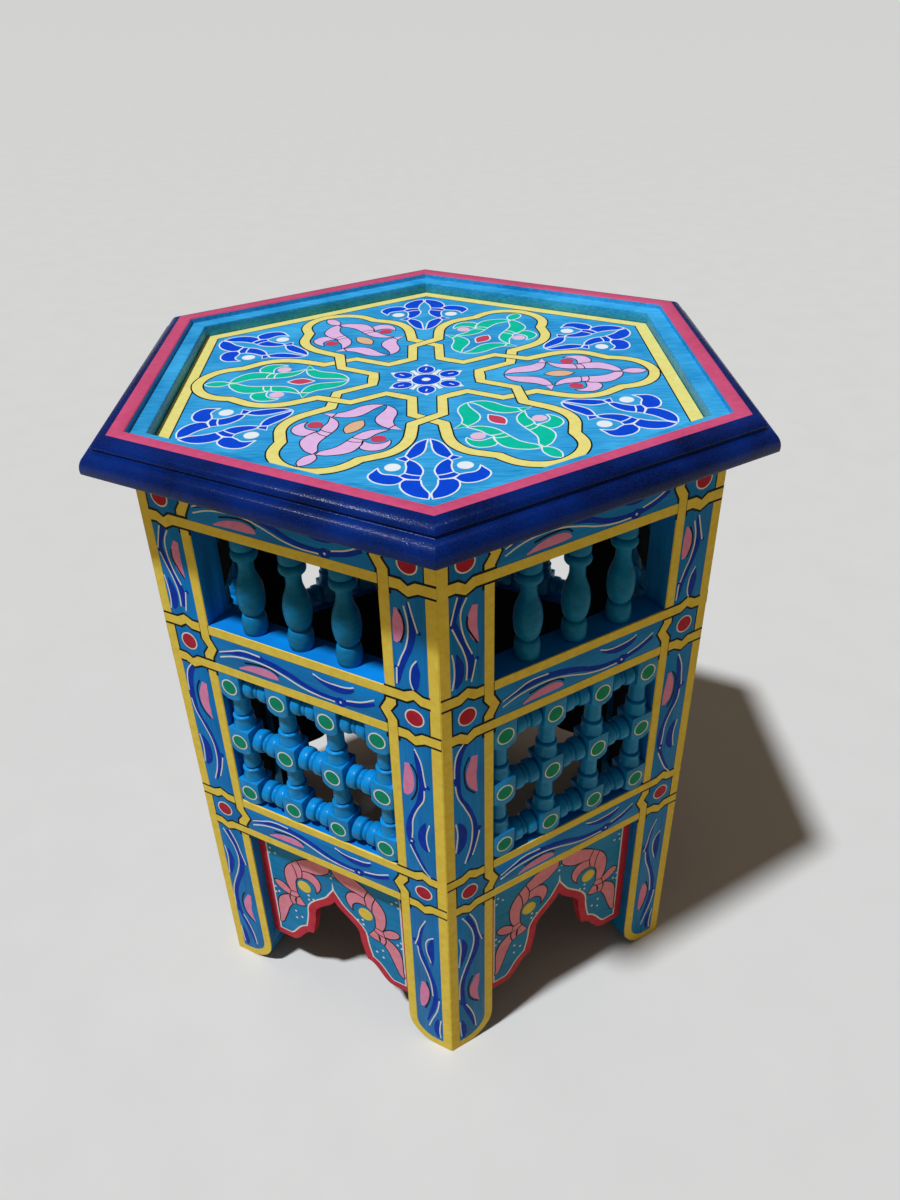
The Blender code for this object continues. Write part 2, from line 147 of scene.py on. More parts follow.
def artist_paint(name, full, thin):
    """Opaque artist's paint laid in one stroke of a soft brush: flat colour that thins in small clouds,
    with a low, slightly ropy surface."""
    material, tree = blank(name)
    place = add(tree, "ShaderNodeTexCoord").outputs["Object"]
    # Clouds of thinner paint 5 mm across, and hair marks 0.7 mm apart.
    cloud = grain(tree, place, 0.005, 3, Distortion=0.6)
    hair = grain(tree, place, 0.0007, 1)
    colour = tinted(tree, drawn_out(tree, cloud, 0.3, 0.66), linear(thin), linear(full))
    sheen = drawn_out(tree, cloud, 0.3, 0.7, paint_rough + 0.07, paint_rough - 0.07)
    bump = ridged(tree, hair, 0.00004)
    surface(tree, {"Base Color": colour, "IOR": paint_ior, "Roughness": sheen, "Normal": bump})
    return material


upright_strokes = (1, 1, 0.05)
turquoise_upright = brushed_enamel("turquoise_enamel_upright", "#0c90ea", "#0a74c4", upright_strokes,
                                   board_rough, board_ridge)
yellow_paint = artist_paint("yellow_line_paint", "#ffe664", "#f6d652")
# Painted shade: a near-black paint for the faces inside the body and the undersides of the aprons and the
# panel, where shade falls.
inside_painted_shade = brushed_enamel("dark_painted_shade", "#131a1e", "#0c1114", (1, 1, 0.1), 0.75, 0.00004)


def pick(*pieces):
    """Leaves only these pieces selected, the first of them active."""
    bpy.ops.object.select_all(action="DESELECT")
    for piece in pieces:
        piece.select_set(True)
    bpy.context.view_layer.objects.active = pieces[0]


def placed(name, data):
    """A new object with this data, linked to the scene."""
    piece = bpy.data.objects.new(name, data)
    bpy.context.scene.collection.objects.link(piece)
    return piece


def paint_over(piece, paints):
    """Gives a piece these paints and no others."""
    piece.data.materials.clear()
    for paint in paints:
        piece.data.materials.append(paint)


def on_outer_face(point):
    """True where a point lies on one of the six outer faces of the body."""
    reach = max(point.x * math.cos(k * TURN) + point.y * math.sin(k * TURN) for k in range(6))
    return abs(reach - face_apothem) < slack


def eased_board(node, name, wanted, paints):
    """A copy of a board with its wanted edges rounded over. The rounding takes the second paint, and the
    faces inside the table the third, a dark painted shade."""
    board = placed(name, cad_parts[node].data.copy())
    paint_over(board, paints)
    pick(board)
    bpy.ops.object.mode_set(mode="EDIT")
    bpy.ops.mesh.select_mode(type="EDGE")
    bpy.ops.mesh.select_all(action="SELECT")
    bpy.ops.mesh.remove_doubles(threshold=weld)
    bpy.ops.mesh.dissolve_limited(angle_limit=math.radians(0.5))
    bpy.ops.mesh.select_all(action="DESELECT")
    net = bmesh.from_edit_mesh(board.data)
    for edge in net.edges:
        ends = [v.co for v in edge.verts]
        middle = (ends[0] + ends[1]) / 2
        outside = all(on_outer_face(p) for p in ends + [middle])
        sharp = len(edge.link_faces) == 2 and edge.calc_face_angle() > math.radians(20)
        edge.select_set(outside and sharp and wanted(ends))
    bmesh.update_edit_mesh(board.data)
    bpy.ops.mesh.bevel(offset=edge_round, segments=2, material=1)
    bpy.ops.object.mode_set(mode="OBJECT")
    bpy.ops.object.shade_smooth_by_angle(angle=math.radians(30))
    # Faces turned towards the middle of the table take the dark painted shade.
    for face in board.data.polygons:
        if face.normal.dot(Vector((face.center.x, face.center.y, 0)).normalized()) < -0.6:
            face.material_index = 2
    return board


def dress(piece, paints, slot, *nodes):
    """Gives a finished piece its paints, and its place in the frame."""
    for index, paint in enumerate(paints):
        if index < len(piece.data.materials):
            piece.data.materials[index] = paint
        else:
            piece.data.materials.append(paint)
    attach(piece, "root")
    if nodes:
        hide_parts(*nodes)


def carried_round(first, stem, ending, paints, slot):
    """Copies the piece of side or corner 1 to the other five, each copy with its own mesh."""
    for number in range(1, 7):
        piece = first
        if number > 1:
            piece = placed(f"{stem}_{number}_{ending}", first.data.copy())
            piece.data.transform(Matrix.Rotation((number - 1) * TURN, 4, "Z"))
        dress(piece, paints, slot, f"{stem}_{number}")


def below_top(ends):
    """True for an edge that isn't in the upper end of a leg."""
    return min(p.z for p in ends) < leg_top - 0.001


leg_paints = [turquoise_upright, yellow_paint, inside_painted_shade]
leg = eased_board("leg_1", "leg_1_painted", below_top, leg_paints)
carried_round(leg, "leg", "painted", leg_paints, "leg_paint")


# Rails: three boards on each side, tenoned between the legs and flush with them outside.
# They are painted along their length, so the brush marks run level.
level_strokes = (0.06, 0.06, 1)
turquoise_level = brushed_enamel("turquoise_enamel_level", "#0c94f0", "#0a7ace", level_strokes,
                                 board_rough, board_ridge)
rail_paints = [turquoise_level, yellow_paint, inside_painted_shade]


def runs_level(ends):
    """True for an edge along a rail."""
    return abs(ends[0].z - ends[1].z) < 0.0001


for stem in ("top_rail", "middle_rail", "lower_rail"):
    rail = eased_board(f"{stem}_1", f"{stem}_1_painted", runs_level, rail_paints)
    carried_round(rail, stem, "painted", rail_paints, "rail_paint")


# Balusters: three on each side, turned in softwood, with a drum at each end, a bead under the upper drum and
# a long-necked vase below it. They stand in holes in the rails and are painted in place, in a turquoise
# darker than the rest as painted shade for the recess under the top.
turned_strokes = (0.3, 0.3, 0.6)
turned_ridge = 0.00012
# Painted shade: this turquoise is darker than that of the rails and the lattice, for the shade under the
# top.
turquoise_gallery_shaded = brushed_enamel("turquoise_enamel_gallery_painted_shade", "#0b8ac8", "#086e9e", turned_strokes,
                                   0.5, turned_ridge, 0.06)
gallery_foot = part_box("middle_rail_1")[1][2]
gallery_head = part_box("top_rail_1")[0][2]
baluster_depth = 0.010
baluster_pitch = 0.0335
handles = {"round": "AUTO", "sharp": "VECTOR"}


def bent(knot, bend):
    """Lets a curve run round through a knot, or turn sharply at it."""
    knot.handle_left_type = handles[bend]
    knot.handle_right_type = handles[bend]


def spun(piece, steps, gap):
    """Spins an outline once round Z, and welds the points nearer to each other than the gap."""
    pick(piece)
    bpy.ops.object.convert(target="MESH")
    bpy.ops.object.mode_set(mode="EDIT")
    bpy.ops.mesh.select_all(action="SELECT")
    bpy.ops.mesh.spin(steps=steps, angle=math.tau, center=(0, 0, 0), axis=(0, 0, 1))
    bpy.ops.mesh.select_all(action="SELECT")
    bpy.ops.mesh.remove_doubles(threshold=gap)
    bpy.ops.mesh.normals_make_consistent(inside=False)
    bpy.ops.object.mode_set(mode="OBJECT")


def turned(name, outline, facets):
    """A turned piece: its half outline of (radius, height, round or sharp), in millimetres, spun on Z."""
    curve = bpy.data.curves.new(name, "CURVE")
    curve.dimensions = "3D"
    spline = curve.splines.new("BEZIER")
    spline.resolution_u = 3
    spline.bezier_points.add(len(outline) - 1)
    for knot, (radius, height, bend) in zip(spline.bezier_points, outline):
        knot.co = (radius / 1000, 0, height / 1000)
        bent(knot, bend)
    piece = placed(name, curve)
    spun(piece, facets, weld)
    bpy.ops.object.shade_smooth_by_angle(angle=math.radians(40))
    return piece


tall = (gallery_head - gallery_foot) * 1000
baluster = turned("baluster_turned", [
    (0, 0.05, "sharp"), (6.9, 0.05, "sharp"), (7.4, 0.7, "sharp"), (7.7, 5.6, "round"),
    (7.3, 10.6, "round"), (6.6, 12.5, "round"), (5.5, 13.3, "sharp"), (5.3, 14, "sharp"),
    (6.6, 15.3, "round"), (8, 20.4, "round"), (8.5, 26.2, "round"), (7.6, 34, "round"),
    (5.6, 39.8, "round"), (4.6, 45, "round"), (5, tall - 16.6, "sharp"), (6.9, tall - 15.7, "round"),
    (8, tall - 13.2, "round"), (7, tall - 10.6, "round"), (5.6, tall - 9.8, "sharp"),
    (5.6, tall - 9.2, "sharp"), (6.9, tall - 8.8, "sharp"), (7.3, tall - 8, "sharp"),
    (7.3, tall - 0.6, "sharp"), (6.9, tall - 0.05, "sharp"), (0, tall - 0.05, "sharp")], facets=28)
for number in range(1, 7):
    for place in (1, 2, 3):
        piece = placed(f"baluster_{number}_{place}_turned", baluster.data.copy())
        across = (place - 2) * baluster_pitch
        piece.data.transform(Matrix.Rotation((number - 0.5) * TURN, 4, "Z")
                             @ Matrix.Translation((across, baluster_depth - face_apothem, gallery_foot)))
        dress(piece, [turquoise_gallery_shaded], "baluster_paint", f"baluster_{number}_{place}")
bpy.data.objects.remove(baluster)


# Lattices: four turned bars on each side, with square blocks left on them, pinned to each other by
# short links turned to a double barrel. The blocks' lower corners are rounded off by the lathe.
turquoise_turned = brushed_enamel("turquoise_enamel_turned", "#0c9eec", "#0a84c8", turned_strokes,
                                  0.42, turned_ridge, 0.2)
lattice_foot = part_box("lower_rail_1")[1][2]
lattice_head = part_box("middle_rail_1")[0][2]
block_side = 0.016
block_tall = 0.0205
block_round = 0.0005
bar_pitch = 0.03613
fit = 0.0003
block_rows = [lattice_foot + fit + block_tall / 2,
              (lattice_foot + lattice_head) / 2,
              lattice_head - fit - block_tall / 2]


def reshaped(piece, kind, **settings):
    """Adds a modifier with these settings to the active piece, and applies it."""
    change = piece.modifiers.new("change", kind)
    for name, value in settings.items():
        setattr(change, name, value)
    bpy.ops.object.modifier_apply(modifier=change.name)


bpy.ops.object.select_all(action="DESELECT")
bpy.ops.mesh.primitive_cube_add(size=1)
block = bpy.context.object
block.name = "lattice_block"
block.data.transform(Matrix.Diagonal((block_side, block_side, block_tall, 1)))
bpy.ops.object.mode_set(mode="EDIT")
bpy.ops.mesh.select_all(action="SELECT")
bpy.ops.mesh.bevel(offset=block_round, segments=2)
bpy.ops.object.mode_set(mode="OBJECT")
shoulder = turned("block_shoulder", [
    (0, -10.6, "sharp"), (8.0, -10.6, "sharp"), (8.6, -9.6, "round"), (10.4, -7.4, "round"),
    (11.6, -4, "round"), (12.5, 2, "sharp"), (12.5, 12, "sharp"), (0, 12, "sharp")], facets=32)
pick(block)
reshaped(block, "BOOLEAN", operation="INTERSECT", solver="EXACT", object=shoulder)
bpy.ops.object.shade_smooth_by_angle(angle=math.radians(35))
bpy.data.objects.remove(shoulder)

between = (block_rows[1] - block_rows[0] - block_tall) * 1000
neck = turned("lattice_neck", [
    (0, -0.6, "sharp"), (7.7, -0.6, "sharp"), (7.6, 0.1, "sharp"), (6.9, 3.2, "round"), (6.6, 7.4, "round"),
    (6.9, 8.9, "round"), (6.3, 9.6, "sharp"), (4.5, 9.8, "sharp"), (4.3, 10.4, "round"),
    (4.6, 11.1, "sharp"), (5.6, 11.3, "sharp"), (5.5, between - 3, "round"), (5.8, between - 0.8, "round"),
    (6.2, between + 0.6, "sharp"), (0, between + 0.6, "sharp")], facets=24)
gap = (bar_pitch - block_side) * 1000
barrel = (gap - 6.6) / 2
half_link = [(0, -0.5, "sharp"), (4.6, -0.5, "sharp"), (4.6, 0.9, "sharp"), (6.6, 1.1, "sharp"),
             (7.5, 1.9, "round"), (7.8, 1.1 + barrel / 2, "round"), (7.5, 0.3 + barrel, "round"),
             (6.6, 1.1 + barrel, "sharp"), (5.4, gap / 2 - 1.9, "sharp"), (6.3, gap / 2 - 0.9, "round")]
link = turned("lattice_link", half_link + [(6.6, gap / 2, "round")]
              + [(radius, gap - along, bend) for radius, along, bend in reversed(half_link)], facets=24)
link.data.transform(Matrix.Rotation(math.radians(90), 4, "Y"))


def copy_at(model, across, up):
    """A copy of a lattice member in the frame of its side, its axis half a block deep."""
    member = placed(model.name, model.data.copy())
    member.data.transform(Matrix.Translation((across, block_side / 2 - face_apothem, up)))
    return member


members = []
for bar in range(4):
    across = (bar - 1.5) * bar_pitch
    for row, up in enumerate(block_rows):
        members.append(copy_at(block, across, up))
        if row < 2:
            members.append(copy_at(neck, across, up + block_tall / 2))
        if bar < 3:
            members.append(copy_at(link, across + block_side / 2, up))
pick(*members)
bpy.ops.object.join()
lattice = members[0]
lattice.name = "lattice_1_turned"
lattice.data.transform(Matrix.Rotation(TURN / 2, 4, "Z"))
carried_round(lattice, "lattice", "turned", [turquoise_turned], "lattice_paint")
for model in (block, neck, link):
    bpy.data.objects.remove(model)


# Aprons: thin boards fretted to a cusped arch, let into grooves in the legs and the lower rail.
# A red border follows the sawn edge, with a white line inside it.
red_paint = artist_paint("red_border_paint", "#d83c52", "#cc3048")
white_paint = artist_paint("white_line_paint", "#fafbfc", "#f0f4f6")
turquoise_apron = brushed_enamel("turquoise_enamel_apron", "#0c96da", "#0a7cba", level_strokes,
                                 board_rough, board_ridge)
apron_paints = [turquoise_apron, red_paint, white_paint, inside_painted_shade]
apron_depth = 0.008
apron_thick = 0.006
apron_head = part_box("apron_1")[1][2]
rail_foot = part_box("lower_rail_1")[0][2]
# Half the board's width between the legs, and half of it with the edges that are let into them.
sight = 0.0625
apron_reach = 0.0652


def in_metres(point):
    """A flat point drawn in millimetres, in metres."""
    return (point[0] / 1000, point[1] / 1000, 0)


def inner_field(net):
    """The face that is left in the middle after an inset."""
    return max(net.faces, key=lambda f: f.calc_area())


def room(point, rim):
    """How far a point lies from a closed rim."""
    gaps = []
    for start, stop in zip(rim, rim[1:] + rim[:1]):
        along = min(max(geometry.intersect_point_line(point, start, stop)[1], 0), 1)
        gaps.append((start.lerp(stop, along) - point).length)
    return min(gaps)


def drawn_back(net, rim, width):
    """Welds the points that an inset threw across a corner of the rim to the sound ones beside them."""
    ring = [corner.vert for corner in inner_field(net).loops]
    sound = [room(vert.co, rim) > 0.985 * width for vert in ring]
    target = {}
    for place, vert in enumerate(ring):
        if not sound[place]:
            ahead = next(k for k in range(1, len(ring)) if sound[(place + k) % len(ring)])
            behind = next(k for k in range(1, len(ring)) if sound[place - k])
            target[vert] = ring[(place + ahead) % len(ring)] if ahead < behind else ring[place - behind]
    bmesh.ops.weld_verts(net, targetmap=target)
    bmesh.ops.remove_doubles(net, verts=net.verts, dist=0.00005)


arch = bpy.data.curves.new("apron_1_fretted", "CURVE")
arch.dimensions = "2D"
arch.fill_mode = "NONE"
arch.resolution_u = 8
edge = arch.splines.new("BEZIER")
edge.use_cyclic_u = True
# Each point of the half arch, with the handle after it and the handle before it.
half_arch = [((0, 102), (3.3, 94.1), (-3.3, 94.1)), ((19.5, 78), (19.5, 69.4), (19.5, 86.6)),
             ((24, 52), (33.9, 52), (22.3, 60.6)), ((46, 33.5), None, (36.1, 33.5)),
             ((62.5, 33.5), None, None), ((62.5, rail_foot * 1000), None, None)]
# From the point of the arch out to the right, up, across the top, and back down the left side.
route = list(half_arch)
for point, after, before in reversed(half_arch[1:]):
    route.append(tuple(None if p is None else (-p[0], p[1]) for p in (point, before, after)))
edge.bezier_points.add(len(route) - 1)
for knot, (point, after, before) in zip(edge.bezier_points, route):
    knot.co = in_metres(point)
    knot.handle_left_type = "FREE" if before else "VECTOR"
    knot.handle_right_type = "FREE" if after else "VECTOR"
for knot, (point, after, before) in zip(edge.bezier_points, route):
    if before:
        knot.handle_left = in_metres(before)
    if after:
        knot.handle_right = in_metres(after)
apron = placed("apron_1_fretted", arch)
pick(apron)
bpy.ops.object.convert(target="MESH")
paint_over(apron, apron_paints)
bpy.ops.object.mode_set(mode="EDIT")
bpy.ops.mesh.select_mode(type="VERT")
bpy.ops.mesh.select_all(action="SELECT")
bpy.ops.mesh.remove_doubles(threshold=slack)
bpy.ops.mesh.dissolve_limited(angle_limit=math.radians(0.2))
bpy.ops.mesh.select_all(action="SELECT")
bpy.ops.mesh.edge_face_add()
net = bmesh.from_edit_mesh(apron.data)
net.faces.ensure_lookup_table()
if net.faces[0].normal.z < 0:
    bpy.ops.mesh.flip_normals()
bpy.ops.mesh.select_mode(type="FACE")
# The width of the border and of its line, the paint of each, and where it stops under the rail.
for width, paint, below in ((0.006, 1, 0.0003), (0.0012, 2, 0.0006)):
    bpy.ops.mesh.select_all(action="DESELECT")
    net = bmesh.from_edit_mesh(apron.data)
    inner_field(net).select_set(True)
    rim = [corner.vert.co.copy() for corner in inner_field(net).loops]
    bmesh.update_edit_mesh(apron.data)
    bpy.ops.mesh.inset(thickness=width, use_boundary=True, use_even_offset=True)
    net = bmesh.from_edit_mesh(apron.data)
    drawn_back(net, rim, width)
    field = inner_field(net)
    field.material_index = 0
    for face in net.faces:
        if face is not field and face.material_index == 0:
            face.material_index = paint
    for vert in field.verts:
        if vert.co.y > rail_foot - 0.010:
            vert.co.y = rail_foot - below
    for face in net.faces:
        if all(v.co.y > rail_foot - 0.002 for v in face.verts):
            face.material_index = 0
    bmesh.update_edit_mesh(apron.data)
net = bmesh.from_edit_mesh(apron.data)
for vert in net.verts:
    if abs(vert.co.x) > sight - slack:
        vert.co.x = math.copysign(apron_reach, vert.co.x)
    if vert.co.y > rail_foot - slack:
        vert.co.y = apron_head
bmesh.update_edit_mesh(apron.data)
bpy.ops.object.mode_set(mode="OBJECT")
reshaped(apron, "SOLIDIFY", thickness=apron_thick, offset=-1, material_offset_rim=0)
# The apron's back face, inside the table, takes the dark painted shade.
for face in apron.data.polygons:
    if face.normal.z < -0.5:
        face.material_index = 3
upright = Matrix.Translation((0, apron_depth - face_apothem, 0)) @ Matrix.Rotation(math.radians(90), 4, "X")
apron.data.transform(Matrix.Rotation(TURN / 2, 4, "Z") @ upright)
carried_round(apron, "apron", "fretted", apron_paints, "apron_paint")


# Bands on the sides: the painter's interlaced yellow lines along every leg and rail. They bend outwards
# round a cell on each leg, and pass over and under each other at its corners, where they are edged black.
black_paint = artist_paint("black_edge_paint", "#101318", "#181c24")
band = 6.4
edging = 1.5
coat_sink = 0.00005
ribbon_weld = 0.000002
# The hand wanders by tenths of a millimetre, in the same way each time the script runs.
hand_waves = 28
hand_drift = 0.0006
noise.seed_set(7)


def coats(count):
    """Empty coats of paint: curves whose strokes are flat ribbons, as wide as each point says."""
    made = [bpy.data.curves.new("coat", "CURVE") for _ in range(count)]
    for coat in made:
        coat.dimensions = "3D"
        coat.twist_mode = "Z_UP"
        coat.extrude = 0.5
    return made


def lift(coat):
    """Strokes lie a few thousandths over each other, as they were laid, so that none share a plane."""
    return len(coat.splines) % 8 * 0.000003


def lay(knot, across, up, height, width, bend):
    """Puts a knot of a ribbon at its place. Its place across and up and its width are in millimetres."""
    knot.co = (across / 1000, up / 1000, height)
    knot.radius = width / 1000
    knot.tilt = math.radians(90)
    bent(knot, bend)


def brush(coat, points, bend="round", steps=5):
    """One stroke of a coat. Each point is (across, up, width) in millimetres."""
    spline = coat.splines.new("BEZIER")
    spline.resolution_u = steps
    spline.radius_interpolation = "CARDINAL" if bend == "round" else "LINEAR"
    spline.bezier_points.add(len(points) - 1)
    for knot, (across, up, width) in zip(spline.bezier_points, points):
        lay(knot, across, up, lift(coat), max(width, 0.05), bend)


def line(coat, points, width, bend="round"):
    """A stroke of one width."""
    brush(coat, [(across, up, width) for across, up in points], bend, 5 if bend == "round" else 1)


def dot(coat, across, up, radius):
    """A round dot, as a short stroke that swells to a circle."""
    angles = [math.radians(15 * k) for k in range(13)]
    brush(coat, [(across - radius * math.cos(a), up, 2 * radius * math.sin(a)) for a in angles], "sharp", 1)


def dried(coat, height):
    """Turns a coat's strokes, or a list of shapes, to a closed film this many millimetres proud."""
    shapes = coat if isinstance(coat, list) else [coat]
    films = [placed(shape.name, shape) for shape in shapes]
    film = films[0]
    pick(*films)
    bpy.ops.object.convert(target="MESH")
    bpy.ops.object.join()
    bpy.ops.object.shade_flat()
    # The ribbons of strokes are welded. Shapes that touch each other stay apart.
    if shapes is not coat:
        bpy.ops.object.mode_set(mode="EDIT")
        bpy.ops.mesh.select_all(action="SELECT")
        bpy.ops.mesh.remove_doubles(threshold=ribbon_weld)
        bpy.ops.object.mode_set(mode="OBJECT")
    film.data.transform(Matrix.Translation((0, 0, height / 1000)))
    reshaped(film, "SOLIDIFY", thickness=height / 1000 + coat_sink, offset=-1)
    bpy.ops.object.mode_set(mode="EDIT")
    bpy.ops.mesh.select_all(action="SELECT")
    bpy.ops.mesh.normals_make_consistent(inside=False)
    bpy.ops.object.mode_set(mode="OBJECT")
    return film


def by_hand(mesh, seed):
    """Lets the strokes wander a few tenths of a millimetre, as an unguided hand does."""
    for vert in mesh.vertices:
        drift = noise.noise_vector((vert.co.x * hand_waves, vert.co.y * hand_waves, seed * 3.7))
        vert.co.x += drift.x * hand_drift
        vert.co.y += drift.y * hand_drift


def joined(name, pieces, paint):
    """Joins pieces to one trim of this name."""
    pick(*pieces)
    bpy.ops.object.join()
    pieces[0].name = name
    dress(pieces[0], [paint], None)


def on_six_sides(name, paint, *layers, depth=0):
    """Dries layers of (coat, height), drawn across and up, and copies them on to the six sides as one
    piece."""
    films = [dried(coat, height) for coat, height in layers]
    pieces = []
    for number in range(6):
        for film in films:
            piece = placed(name, film.data.copy())
            by_hand(piece.data, number)
            for vert in piece.data.vertices:
                vert.co.y = min(max(vert.co.y, 0.0001), leg_top)
            piece.data.transform(Matrix.Rotation((number + 0.5) * TURN, 4, "Z")
                                 @ Matrix.Translation((0, depth - face_apothem, 0))
                                 @ Matrix.Rotation(math.radians(90), 4, "X"))
            pieces.append(piece)
    joined(name, pieces, paint)
    for film in films:
        bpy.data.objects.remove(film)


rail_stems = ("lower_rail", "middle_rail", "top_rail")
rails = [[corner[2] * 1000 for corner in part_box(f"{stem}_1")] for stem in rail_stems]
cell = 80.5
upright_half = 6.5
upright_out = 4.0
level_half = 5.2
level_out = 3.0
inner_line = 65.9
arris_line = 94.0
foot_centre = (84.95, 22.45)
arris_edge = 90.6
cell_reach = 13
upright_yellow, upright_black, level_yellow, level_black = coats(4)


def foot_bend(side, radius):
    """The bend of the inner line round the foot, from the upright part to the arris line."""
    angles = [math.radians(15 * k) for k in range(7)]
    bend = [(foot_centre[0] - radius * math.cos(a), foot_centre[1] - radius * math.sin(a)) for a in angles]
    return [(side * across, up) for across, up in bend + [(90.8, foot_centre[1] - radius)]]


def bent_at_cell(side, low, high):
    """The inner line from the top of a rail down past its foot, bent towards the rail beside the cell."""
    middle = (low + high) / 2
    bend = ((high, 0), (middle + upright_half, 0), (middle, upright_out), (middle - upright_half, 0),
            (low - 4, 0))
    return [(side * (inner_line - shift), up) for up, shift in bend]


for side in (-1, 1):
    whole_line = [(side * inner_line, leg_top * 1000)]
    for low, high in reversed(rails):
        whole_line += bent_at_cell(side, low, high)[1:4]
        line(upright_black, bent_at_cell(side, low, high), band + 2 * edging, "sharp")
        middle = (low + high) / 2
        beside = [(side * arris_edge, middle + reach) for reach in (cell_reach, -cell_reach)]
        line(upright_black, beside, edging, "sharp")
    line(upright_yellow, whole_line + foot_bend(side, foot_centre[0] - inner_line), band, "sharp")
    line(upright_yellow, [(side * arris_line, leg_top * 1000), (side * arris_line, 0.2)], band, "sharp")

for low, high in rails:
    middle = (low + high) / 2
    rise = (high - low) / 2 - band / 2 - 0.1
    bump = [(cell - level_half, rise), (cell, rise + level_out), (cell + level_half, rise)]
    # Each line is drawn in two strokes, with a gap where a leg's own line passes over it.
    run = [(-62.4, rise)] + bump + [(90.9, rise)]
    end = [(-97.2, rise)] + [(-u, v) for u, v in reversed(bump)] + [(-69.4, rise)]
    # flip 1 draws the upper line, and flip -1 the lower one, which is the same turned half round.
    for flip in (1, -1):
        for route in (run, end):
            line(level_yellow, [(flip * u, middle + flip * v) for u, v in route], band, "sharp")
        for route in ([(62.2, rise)] + run[1:], end):
            line(level_black, [(flip * u, middle + flip * v) for u, v in route], band + 2 * edging, "sharp")

on_six_sides("side_bands_yellow", yellow_paint, (upright_yellow, 0.09), (level_yellow, 0.17))
on_six_sides("side_bands_black", black_paint, (upright_black, 0.05), (level_black, 0.13))


# Flowers on the sides: a red dot in a white ring in each cell of a leg, a green one on each lattice
# block, and between them a blue stem with white lines, a pink leaf and a blue one, all freehand.
royal_paint = artist_paint("royal_blue_paint", "#0640cc", "#0536b4")
pink_paint = artist_paint("pink_leaf_paint", "#f89cd0", "#ee8ec4")
green_paint = artist_paint("green_dot_paint", "#0a9e7c", "#08906e")
navy_paint = artist_paint("navy_line_paint", "#08142c", "#0a1a38")
dot_red_paint = artist_paint("red_dot_paint", "#c42c44", "#b82238")
side_red, side_green, side_pink, side_royal, side_navy, side_white, side_white_top = coats(7)


def sprig(up, stem, lines, knots, petal, shade, blue, back):
    """One freehand sprig, its heights counted from up: the stem and the white lines beside it, blue
    knots, a pink leaf with a dark line on its back, and a blue leaf with a white line."""
    for coat, stroke in ((side_royal, stem), (side_pink, petal), (side_royal, blue)):
        brush(coat, [(u, up + v, w) for u, v, w in stroke], "round", 6)
    for route in lines:
        line(side_white_top, [(u, up + v) for u, v in route], 0.9)
    for u, v, radius in knots:
        dot(side_royal, u, up + v, radius)
        if radius > 2:
            dot(side_white_top, u, up + v, 0.8)
    line(side_navy, [(u, up + v) for u, v in shade], 1.15)
    line(side_white_top, [(u, up + v) for u, v in back], 0.85)


for low, high in rails:
    for side in (-1, 1):
        dot(side_white, side * cell, (low + high) / 2, 6.3)
        dot(side_red, side * cell, (low + high) / 2, 5.4)
for row in block_rows:
    for bar in range(4):
        dot(side_white, (bar - 1.5) * bar_pitch * 1000, row * 1000, 6.0)
        dot(side_green, (bar - 1.5) * bar_pitch * 1000, row * 1000, 5.1)
for low, high in rails:
    sprig((low + high) / 2,
          [(-56.5, -0.7, 1.8), (-45, 2.8, 3), (-35, 4.3, 3.3), (-25, 4.6, 3.8), (-14, 3, 4),
           (-2, -0.4, 3.6), (8, -4.2, 3.2), (18, -6.2, 3.2), (28, -6.7, 3.6), (38, -5.7, 3.4),
           (47, -3.2, 3.2), (54.5, 0.3, 2.2)],
          [[(-56.5, -0.5), (-47, 3.3), (-39, 6.3), (-25, 6.3)],
           [(-56.5, -4.5), (-46, -0.7), (-34, 1.1), (-20, 0.8), (-8, -2.2), (4, -6.2), (15, -8),
            (27, -8.2)],
           [(35, -4.5), (45, -1.7), (54.5, 3.3)]],
          [(-24.5, 5.8, 1.5), (30.8, -7.2, 3.4)],
          [(-42.5, -8.4, 1), (-36.5, -6.6, 3.4), (-28, -5.3, 5.4), (-19.5, -5.2, 5.4), (-14.8, -6.1, 3),
           (-13.6, -6.9, 1)],
          [(-38, -2.7), (-28, -0.8), (-16.5, -1.2), (-13, -3.8)],
          [(14, 5.8, 1.5), (21, 3.5, 4.2), (29, 2.1, 5.2), (37, 3.4, 4.2), (41, 5.2, 1.8)],
          [(13, 7.3), (18, 5.3), (29, 4.5), (38, 5.8), (41, 7.3)])

# The right leg of a side, beside the gallery, the lattice and the apron.
sprig(0,
      [(80, 390, 2), (81.5, 380, 2.6), (82.2, 372, 4), (80, 363, 4.2), (76.5, 354, 3.8), (73.5, 346, 3.6),
       (71.8, 338, 2.5), (71.2, 334, 1)],
      [[(80.5, 390.5), (82.5, 383), (85.5, 372.5)],
       [(77.5, 387.5), (79.7, 376), (78, 363), (74, 353), (71.8, 346.5)],
       [(71, 345.5), (70.5, 334)]],
      [(86.2, 372.5, 1.3), (70.4, 345.5, 1.2)],
      [(72.2, 385, 1.5), (73.4, 379, 5.6), (73.6, 373, 6.8), (72.8, 367, 5.6), (71.2, 363, 2)],
      [(74.6, 384.5), (77, 378), (77.2, 371.5), (74.6, 363.5)],
      [(83.6, 353.5, 1), (82.8, 347, 5), (81.9, 340, 5.4), (82, 334.5, 3), (82.2, 332, 0.8)],
      [(83.5, 354), (80.4, 349), (79, 342), (79.2, 337), (80.6, 333)])
